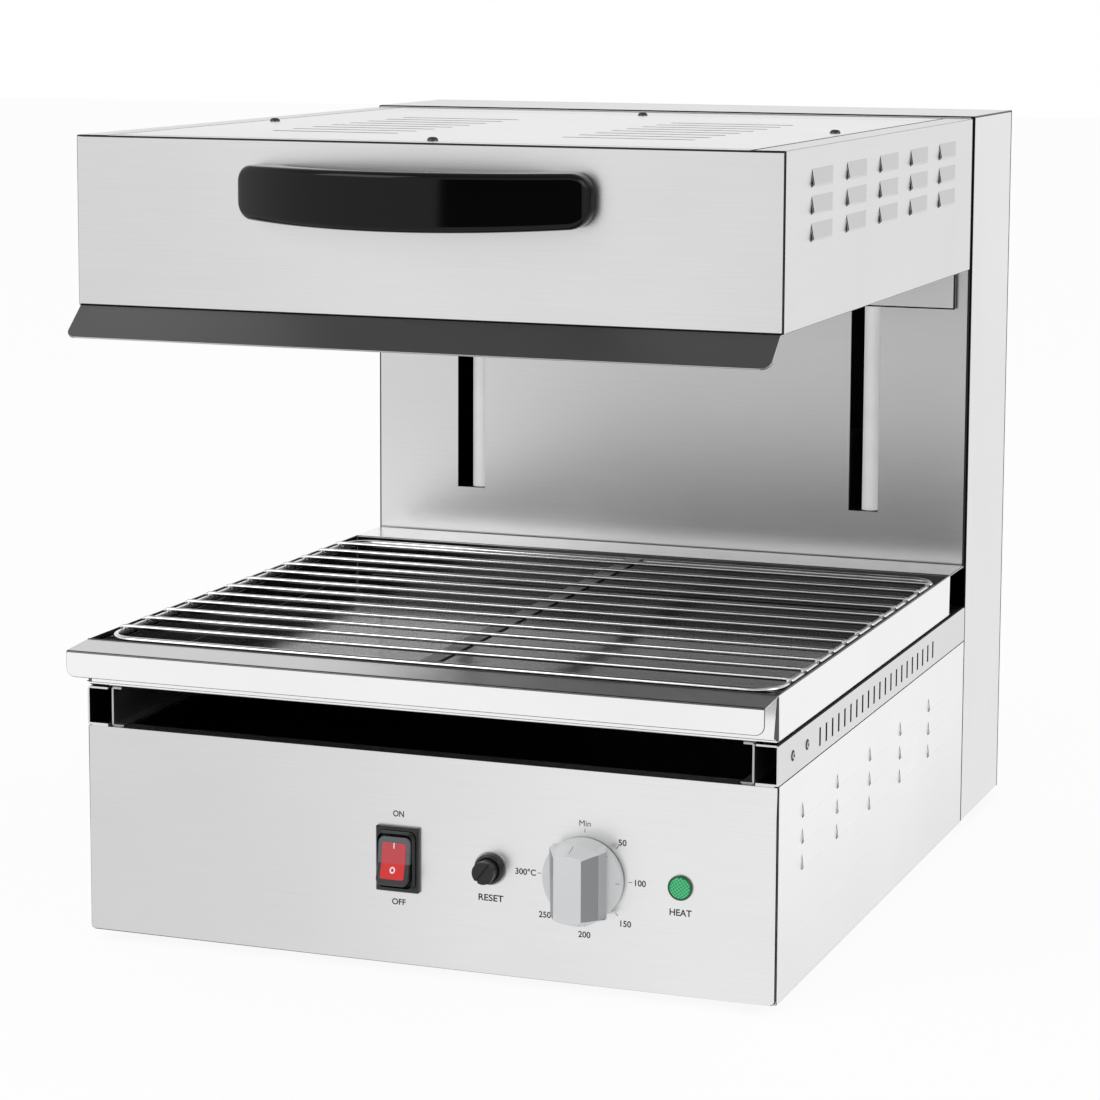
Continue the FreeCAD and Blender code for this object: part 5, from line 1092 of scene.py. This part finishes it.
def lathed(name, body, outline, centre, finish, slot, *stands_for, angle=40):
    """A piece from an outline of (radius, depth) turned about an axis along Y."""
    x, z = centre
    loops = []
    for radius, depth in outline:
        angles = [2 * math.pi * step / TURN_STEPS for step in range(TURN_STEPS)]
        loops.append([(x + radius * math.cos(a), depth, z + radius * math.sin(a)) for a in angles])
    form = bmesh.new()
    joined_loops(form, loops)
    finish_piece(new_piece(name, form), body, [finish], slot, *stands_for, angle=angle)


form = copied_form("reset_button")
reset_centre = Vector((RESET[0], 0, RESET[1]))
turn_button = Matrix.Rotation(-RESET_TURN, 3, "Y")
for vert in form.verts:
    vert.co = reset_centre + turn_button @ (vert.co - reset_centre)
reset = new_piece("reset_cap", form)
round_sharp_edges(reset, 0.5 * MM, angle=50)
finish_piece(reset, "reset_button", [plastic_grey], "grey_plastic", "reset_button", angle=40)

nut_low, nut_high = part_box("reset_nut")
nut = (nut_high.x - nut_low.x) / 2
lathed("reset_ring", "base",
       [(NUT_BORE, nut_high.y), (nut, nut_high.y), (nut, nut_low.y + 1.2 * MM),
        (nut - 0.4 * MM, nut_low.y + 0.4 * MM), (nut - 1.1 * MM, nut_low.y),
        (NUT_BORE + 0.3 * MM, nut_low.y), (NUT_BORE, nut_low.y + 0.4 * MM),
        (NUT_BORE, nut_high.y - 0.01 * MM)],
       RESET, plastic_black, "black_plastic", "reset_nut")

lens_low, lens_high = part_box("lamp_lens")
lens = (lens_high.x - lens_low.x) / 2
lathed("lamp_rim", "base",
       [(lens, lens_high.y), (lens, lens_low.y + 1.8 * MM), (lens - 0.4 * MM, lens_low.y + 1.3 * MM),
        (lens - 1.0 * MM, lens_low.y + 1.3 * MM), (lens - 1.1 * MM, lens_low.y + 2.2 * MM)],
       LAMP, lamp_rim_green, "green_lens")
dome = lens - DOME_INSET
dome_line = [(dome, lens_high.y - 0.1 * MM), (dome, lens_low.y + DOME_HIGH)]
for step in range(1, DOME_STEPS):
    angle = math.radians(90) * step / DOME_STEPS
    dome_line.append((dome * math.cos(angle), lens_low.y + DOME_HIGH - DOME_HIGH * math.sin(angle)))
lathed("lamp_dome", "base", dome_line, LAMP, lens_green, "green_lens", "lamp_lens", angle=50)
print("lamp, width in mm:", round(2 * lens / MM, 1))

# %% [markdown]
# ## Words and dial
#
# The words and the scale are screen printed in dark grey epoxy ink. Each is drawn with a font,
# made a flat mesh, and laid on the panel. The numbers stand round the knob at equal steps of 45
# degrees, from Min at the top to 300 on the left. Letters are drawn a little bolder than the font
# has them, but not an M, whose strokes would run together.

# %% Print the panel
LETTER = 3.8 * MM
LARGE_LETTER = 4.1 * MM
BOLDER = 0.018
CARRIER = 0.02 * MM
DIAL_STEP = 45
TICK_FROM, TICK_TO, TICK_WIDE = 27.6 * MM, 30.0 * MM, 0.35 * MM
ON_ABOVE, OFF_BELOW = 27.9 * MM, 27.0 * MM
RESET_BELOW, HEAT_BELOW = 18.4 * MM, 15.2 * MM
# How far the middle of each word lies from the knob's, in mm.
DIAL_WORDS = {"Min": 33.2, "50": 33.4, "100": 34.6, "150": 36.2, "200": 34.8, "250": 35.6,
              "300°C": 37.6}
marks = []


def word(text, x, z, height=LETTER, squeeze=1.0):
    """Adds a word to the panel's marks, with its middle at a place."""
    weight = 0.0 if "M" in text else BOLDER
    marks.append((flat_text(text, height, squeeze, weight), (x, z)))


def round_knob(reach, angle):
    """A place round the knob, clockwise from the top."""
    return KNOB[0] + reach * math.sin(angle), KNOB[1] + reach * math.cos(angle)


word("ON", SWITCH[0], SWITCH[1] + ON_ABOVE, squeeze=0.9)
word("OFF", SWITCH[0], SWITCH[1] - OFF_BELOW)
word("RESET", RESET[0], RESET[1] - RESET_BELOW, LARGE_LETTER, 1.1)
word("HEAT", LAMP[0], LAMP[1] - HEAT_BELOW, LARGE_LETTER)
for number, (text, reach) in enumerate(DIAL_WORDS.items()):
    angle = math.radians(DIAL_STEP * number)
    word(text, *round_knob(reach * MM, angle))
    marks.append((bar_mesh(TICK_WIDE, TICK_TO - TICK_FROM, angle),
                  round_knob((TICK_FROM + TICK_TO) / 2, angle)))


def on_panel(x, z, lift):
    """A point of the drawing, laid on the control panel."""
    return Vector((x, PANEL - CARRIER - lift, z))


printed("panel_print", marks, on_panel, "base", ink_grey, "black_plastic")
print("marks on the panel:", len(marks))

# %% [markdown]
# The knob's skirt has three short ticks. Each point of their drawing is thrown against the knob
# from the front, and lies where it hits.

# %% Print the knob
SKIRT_REACH = 22.9 * MM
SKIRT_TICK_WIDE, SKIRT_TICK_LONG = 0.3 * MM, 2.6 * MM
SKIRT_TICKS = (0, 45, 90)
knob_marks = []
for turn in SKIRT_TICKS:
    angle = math.radians(turn)
    tick = bar_mesh(SKIRT_TICK_WIDE, SKIRT_TICK_LONG, angle)
    knob_marks.append((tick, round_knob(SKIRT_REACH, angle)))


def on_knob(x, z, lift):
    """The point of the knob's front that lies behind a point of the drawing."""
    found, place, _, _ = knob.ray_cast(Vector((x, knob_front - 10 * MM, z)), Vector((0, 1, 0)))
    return Vector((x, (place.y if found else PANEL) - lift - CARRIER, z))


printed("knob_print", knob_marks, on_knob, "knob", ink_grey, "black_plastic")
print("marks on the knob:", len(knob_marks))

# %% [markdown]
# ## The wire grid
#
# The grid is welded from bright drawn wire: a 4 mm frame rod with round corners, and twelve 3 mm
# wires across it whose ends are pressed down over the rod. One wire is drawn as a curve and
# repeated along the frame. A flat bar runs under them from front to back. Its dark tone is painted
# shade.

# %% Weld the grid
GRID_STEP = 30.4 * MM
GRID_WIRES = 12
RING_ROD = 2 * MM
WIRE_ROD = 1.5 * MM
WELD = 0.7 * MM
RING_CORNER = 18 * MM
RING_INSET, RING_DEPTH, RING_LONG = 5.7 * MM, 1.7 * MM, 385 * MM
RING_BEHIND_PANEL = 14 * MM
BAR_WIDE, BAR_THICK = 12 * MM, 2 * MM
FIRST_WIRE = 25.4 * MM
WIRE_TIPS = 0.6
WIRE_BEND = [(2.6 * MM, -1.3 * MM), (1.9 * MM, -0.8 * MM), (0.6 * MM, -0.2 * MM), (-1.5 * MM, 0)]
ring_x = pan_high.x - RING_INSET
ring_front = PANEL + RING_BEHIND_PANEL
ring_back = ring_front + RING_LONG
ring_z = pan_high.z - RING_DEPTH
wire_z = ring_z + RING_ROD + WIRE_ROD - WELD


def rod(name, points, radius, cyclic=False, tips=1.0):
    """A round rod along points. Tips is the radius of its ends, as a share."""
    curve = bpy.data.curves.new(name, "CURVE")
    curve.dimensions = "3D"
    curve.bevel_depth = radius
    curve.bevel_resolution = 3
    curve.use_fill_caps = not cyclic
    spline = curve.splines.new("POLY")
    spline.points.add(len(points) - 1)
    for point, place in zip(spline.points, points):
        point.co = (*place, 1)
    spline.points[0].radius = spline.points[-1].radius = tips
    spline.use_cyclic_u = cyclic
    return new_object(name, mesh_of_curve(name, curve))


frame_line = [(x, y + (ring_front + ring_back) / 2, ring_z)
              for x, y in round_corners(ring_x * 2, RING_LONG, RING_CORNER, steps=8)]
frame_rod = rod("frame_rod", frame_line, RING_ROD, cyclic=True)
left_end = [(-ring_x - out, ring_front + FIRST_WIRE, wire_z + drop) for out, drop in WIRE_BEND]
wire_line = left_end + [(-x, y, z) for x, y, z in reversed(left_end)]
wires = repeated("wires", rod("one_wire", wire_line, WIRE_ROD, tips=WIRE_TIPS),
                 1, (0, 0, 0), GRID_WIRES, (0, GRID_STEP, 0), wire_bright)
form = bmesh.new()
bmesh.ops.create_cube(form, size=1)
bar_top = wire_z - WIRE_ROD + WELD
for vert in form.verts:
    y = ring_front if vert.co.y < 0 else ring_back
    vert.co = Vector((vert.co.x * BAR_WIDE, y, bar_top - BAR_THICK * (0.5 - vert.co.z)))
bar = new_piece("grid_bar", form)
round_sharp_edges(bar, 0.4 * MM)
# The bar's dark finish is painted shade.
finish_piece(bar, "wire_grid", [bar_dark], "bright_rod")
finish_piece(joined("grid_welded", [frame_rod, wires]), "wire_grid", [wire_bright], "bright_rod",
             "wire_grid", angle=45)
print("grid wires:", GRID_WIRES)

# %% [markdown]
# ## Screws and rivets
#
# The cover is held by four blackened button-head screws, and the rear cover by six bright ones.
# The rails are fastened with blind rivets, whose hollow middle is left by the broken pulling pin.
# Each head is turned once and repeated over its rows.

# %% Turn the screws and rivets
HEAD = 3.4 * MM
RISE = 2.2 * MM
HEAD_SIDES = 24
# Radius, height, and how much the ring is a hexagon.
SCREW = [(HEAD * 0.6, -0.5 * MM, 0), (HEAD, 0, 0), (HEAD, RISE * 0.2, 0),
         (HEAD * 0.92, RISE * 0.55, 0), (HEAD * 0.74, RISE * 0.85, 0), (HEAD * 0.55, RISE * 0.98, 0),
         (HEAD * 0.45, RISE, 0.5), (HEAD * 0.4, RISE * 0.95, 1), (HEAD * 0.38, RISE * 0.3, 1)]
RIVET = [(HEAD * 0.6, -0.5 * MM, 0), (HEAD, 0, 0), (HEAD * 0.95, 0.2 * MM, 0),
         (HEAD * 0.6, 0.25 * MM, 0), (HEAD * 0.55, 0.7 * MM, 0), (HEAD * 0.42, 0.95 * MM, 0),
         (HEAD * 0.3, 0.9 * MM, 0), (HEAD * 0.26, -0.3 * MM, 0)]


def heads(levels, place, axis, finish, columns=1, column_step=(0, 0, 0), rows=1, row_step=(0, 0, 0)):
    """A turned head at a place, repeated over columns and rows."""
    form = bmesh.new()
    loops = []
    for radius, height, hexagon in levels:
        ring = []
        for step in range(HEAD_SIDES):
            angle = 2 * math.pi * step / HEAD_SIDES
            flat = math.cos(math.radians(30)) / math.cos(math.radians(math.degrees(angle) % 60 - 30))
            reach = radius * (1 + (flat - 1) * hexagon)
            ring.append(Vector((reach * math.cos(angle), reach * math.sin(angle), height)))
        loops.append(ring)
    joined_loops(form, loops)
    turn = Vector((0, 0, 1)).rotation_difference(Vector(axis)).to_matrix()
    for vert in form.verts:
        vert.co = turn @ vert.co + Vector(place)
    return repeated("heads", new_piece("head", form), columns, column_step, rows, row_step, finish)


COVER_INSET = 10.5 * MM
cover_low, cover_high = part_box("top_cover")
side_x, middle_y = cover_high.x - COVER_INSET, (cover_low.y + cover_high.y) / 2
front_y, back_y = cover_low.y + COVER_INSET, cover_high.y - COVER_INSET
ends = heads(SCREW, (0, front_y, cover_high.z), (0, 0, 1), screw_dark, rows=2,
             row_step=(0, back_y - front_y, 0))
sides = heads(SCREW, (-side_x, middle_y, cover_high.z), (0, 0, 1), screw_dark, columns=2,
              column_step=(side_x * 2, 0, 0))
finish_piece(joined("cover_screws", [ends, sides]), "heating_head", [screw_dark], "dark_steel",
             "top_screws", angle=35)

REAR_INSET, REAR_LOW = 8.4 * MM, 12 * MM
RIVET_FIRST, RIVET_STEP, RIVET_HEIGHT = 29.5 * MM, 30.5 * MM, 149.85 * MM
rear_low, rear_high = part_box("rear_cover")
rear_x = rear_high.x - REAR_INSET
rear_z, rear_top = rear_low.z + REAR_LOW, rear_high.z - REAR_LOW
fasteners = [heads(SCREW, (-rear_x, rear_high.y, rear_z), (0, 1, 0), rivet_steel, 2, (rear_x * 2, 0, 0),
                   3, (0, 0, (rear_top - rear_z) / 2))]
for side in (-1, 1):
    fasteners.append(heads(RIVET, (side * HALF, PANEL + RIVET_FIRST, RIVET_HEIGHT), (side, 0, 0),
                           rivet_steel, rows=2, row_step=(0, RIVET_STEP, 0)))
rivets = finish_piece(joined("case_fasteners", fasteners), "base", [rivet_steel], "stainless",
                      "case_screws", angle=35)
# The flange of each rail rivet is painted nearly black: painted shade round its head.
rivets.data.materials.append(rivet_shade)
for polygon in rivets.data.polygons:
    flange = abs(polygon.center.x) < HALF + 0.3 * MM and polygon.area > 0.2 * MM * MM
    if polygon.center.y < 0 and flange:
        polygon.material_index = 1
print("faces of the case's screws and rivets:", len(rivets.data.polygons))

# %% [markdown]
# ## Lift cables
#
# Steel cables run from the head's carriage over two pulleys and down to the counterweight. As the
# head comes down, its side of each cable grows longer while the weight's side grows shorter, and a
# rigid cable would pass through the column's top. Each run is a tube with points only at its ends,
# and it stays where the frame has it.

# %% Make the cable runs
def cable_runs(node):
    """Both straight runs of a cable, which stretch between a moving body and the pulleys."""
    low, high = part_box(node)
    radius = (high.y - low.y) / 2
    y = (low.y + high.y) / 2
    runs = []
    for x in (low.x + radius, high.x - radius):
        runs.append(rod("run", [(x, y, low.z), (x, y, high.z)], radius))
    piece = joined(node + "_tied", runs)
    wear(piece, [wire_bright])
    shade(piece, 45)
    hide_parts(node)
    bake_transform(piece)
    return high.z - low.z


for node, body in (("cables_front", "heating_head"), ("cables_rear", "counterweight")):
    print(node, "length in mm:", round(cable_runs(node) / MM, 1))

# %% [markdown]
# ## The parts that keep their shape
#
# Rods, blocks and the hidden parts behind the panels already have their final shape. They only
# get their finish.

# %% Paint the remaining parts
FINISHES = {
    rubber_black: ["rubber_feet"],
    rod_bright: ["guide_rods", "weight_rods"],
    # Parts hidden inside the column are painted as dark as its inside: painted shade.
    steel_inside: ["lower_crossbar", "upper_crossbar", "slider_left", "slider_right", "carriage_bar"],
    wire_bright: ["cable_wraps"],
    plastic_black: ["limit_switch", "lamp_body", "cable_gland"],
    rivet_steel: ["reset_washer", "thermostat_body", "thermostat_shaft", "handle_screws", "lift_bolts"],
    plastic_cream: ["terminal_block"],
    cable_grey: ["wiring_loom"],
    fibre_white: ["insulation_pad"],
    tube_scaled: ["heating_elements"],
    steel_plain: ["element_supports"],
    bronze: ["slider_bushes"],
    pulley_white: ["pulley_left", "pulley_right"],
    iron: ["counterweight"],
}
for material, painted in FINISHES.items():
    for node in painted:
        nodes[node].data.materials.clear()
        nodes[node].data.materials.append(material)
print("painted parts:", sum(len(painted) for painted in FINISHES.values()), "of", len(nodes))

# %% [markdown]
# ## Floor and light
#
# The grill stands in a white studio. Bright metal also needs something darker to mirror, so in
# reflections the ceiling is grey and a low, wide black screen stands behind the camera. Neither is
# an object: where they would be, the floor and the world are darker, and only to rays that
# something mirrors.

# %% Studio that metal mirrors
SCREEN_LEFT, SCREEN_RIGHT = math.radians(-5), math.radians(52)
SCREEN_NEAR = 2.4
SCREEN_TOP = 0.16
SCREEN_TONE = 0.03
SOFT_LEFT, SOFT_RIGHT, SOFT_TOP = 0.04, 0.1, 0.06


def largest(tree, *values):
    """The largest of several values."""
    found = values[0]
    for value in values[1:]:
        found = add(tree, "Math", operation="MAXIMUM", _0=found, _1=value)
    return found


def seen_by_eye(tree):
    """1 for rays that come from the camera, a mirror or a glass, and 0 for light that bounces."""
    paths = add(tree, "LightPath").outputs
    return largest(tree, paths["Is Camera Ray"], paths["Is Glossy Ray"], paths["Is Transmission Ray"])


def mirrored_studio(tree, direction, near=0.0):
    """1 to the camera. To a mirror it is dark where a black screen stands behind the camera."""
    parts = add(tree, "SeparateXYZ", Vector=direction).outputs
    far = add(tree, "VectorMath", operation="LENGTH", _0=direction).outputs["Value"]
    close_by = add(tree, "Math", operation="LESS_THAN", _0=far, _1=near)
    forward = add(tree, "Math", operation="MULTIPLY", _0=parts["Y"], _1=-1.0)
    turn = add(tree, "Math", operation="ARCTAN2", _0=parts["X"], _1=forward)
    left = add(tree, "MapRange", Value=turn, _1=SCREEN_LEFT, _2=SCREEN_LEFT + SOFT_LEFT,
               _3=1.0, _4=SCREEN_TONE)
    right = add(tree, "MapRange", Value=turn, _1=SCREEN_RIGHT, _2=SCREEN_RIGHT + SOFT_RIGHT,
                _3=SCREEN_TONE, _4=1.0)
    above = add(tree, "MapRange", Value=parts["Z"], _1=SCREEN_TOP, _2=SCREEN_TOP + SOFT_TOP)
    eye = add(tree, "LightPath").outputs["Is Camera Ray"]
    return largest(tree, left, right, close_by, above, eye)


print("black screen, width in degrees:", round(math.degrees(SCREEN_RIGHT - SCREEN_LEFT)))

# %% [markdown]
# To the eye and to mirrors the floor is plain white, but for a tenth of matt paint that keeps the
# shadow. For light that bounces it is all matt. The world is white too, and lights the grill with
# eight tenths of the brightness that it shows.

# %% Floor and world
FLOOR_HALF = 12
FLOOR_GAP = 0.4 * MM
FLOOR_SHOWN, WORLD_DIM = 0.9, 0.8
CEILING_LOW, CEILING_HIGH, CEILING_TONE = 0.3, 0.8, 0.5
form = bmesh.new()
bmesh.ops.create_grid(form, x_segments=1, y_segments=1, size=FLOOR_HALF)
floor = new_piece("floor", form)
floor.location.z = -FLOOR_GAP
floor_paint, tree, place = new_material("floor_white")
matt = add(tree, "BsdfPrincipled", Base_Color=linear("#F8F8F8"), Roughness=0.9)
white = add(tree, "Emission", Color=linear("#FFFFFF"),
            Strength=mirrored_studio(tree, place, near=SCREEN_NEAR))
share = add(tree, "Math", operation="MULTIPLY", _0=seen_by_eye(tree), _1=FLOOR_SHOWN)
add(tree, "OutputMaterial", Surface=add(tree, "MixShader", _0=share, _1=matt, _2=white))
floor.data.materials.append(floor_paint)

world = bpy.data.worlds.new("studio")
bpy.context.scene.world = world
world.use_nodes = True
sky = world.node_tree
sky.nodes.clear()
direction = add(sky, "TexCoord").outputs["Generated"]
way = add(sky, "SeparateXYZ", Vector=direction)
ceiling = add(sky, "MapRange", interpolation_type="SMOOTHSTEP", Value=way.outputs["Z"],
              _1=CEILING_LOW, _2=CEILING_HIGH, _3=1.0, _4=CEILING_TONE)
room = add(sky, "Math", operation="MULTIPLY", _0=ceiling, _1=mirrored_studio(sky, direction))
shown = largest(sky, room, add(sky, "LightPath").outputs["Is Camera Ray"])
strength = add(sky, "Mix", data_type="FLOAT", _0=seen_by_eye(sky), _2=WORLD_DIM, _3=shown)
backdrop = add(sky, "Background", Color=linear("#FFFFFF"), Strength=strength)
add(sky, "OutputWorld", Surface=backdrop)
print("world nodes:", len(sky.nodes))

# %% [markdown]
# One large soft lamp above the front left and a weaker one on the right shape the folds.

# %% Lamps
VIEW_TARGET = Vector((0, 0, 0.25))


def soft_lamp(name, place, size, power):
    """A square lamp that faces the grill."""
    lamp = new_object(name, bpy.data.lights.new(name, "AREA"))
    lamp.location = place
    lamp.rotation_euler = (VIEW_TARGET - Vector(place)).to_track_quat("-Z", "Y").to_euler()
    lamp.data.size = size
    lamp.data.energy = power


soft_lamp("lamp_front_left", (-1.6, -2.2, 2.2), 1.6, 22)
soft_lamp("lamp_right", (2.4, -0.4, 1.4), 1.4, 12)
bpy.context.scene.view_settings.view_transform = "Standard"
print("lamps:", len(bpy.data.lights))
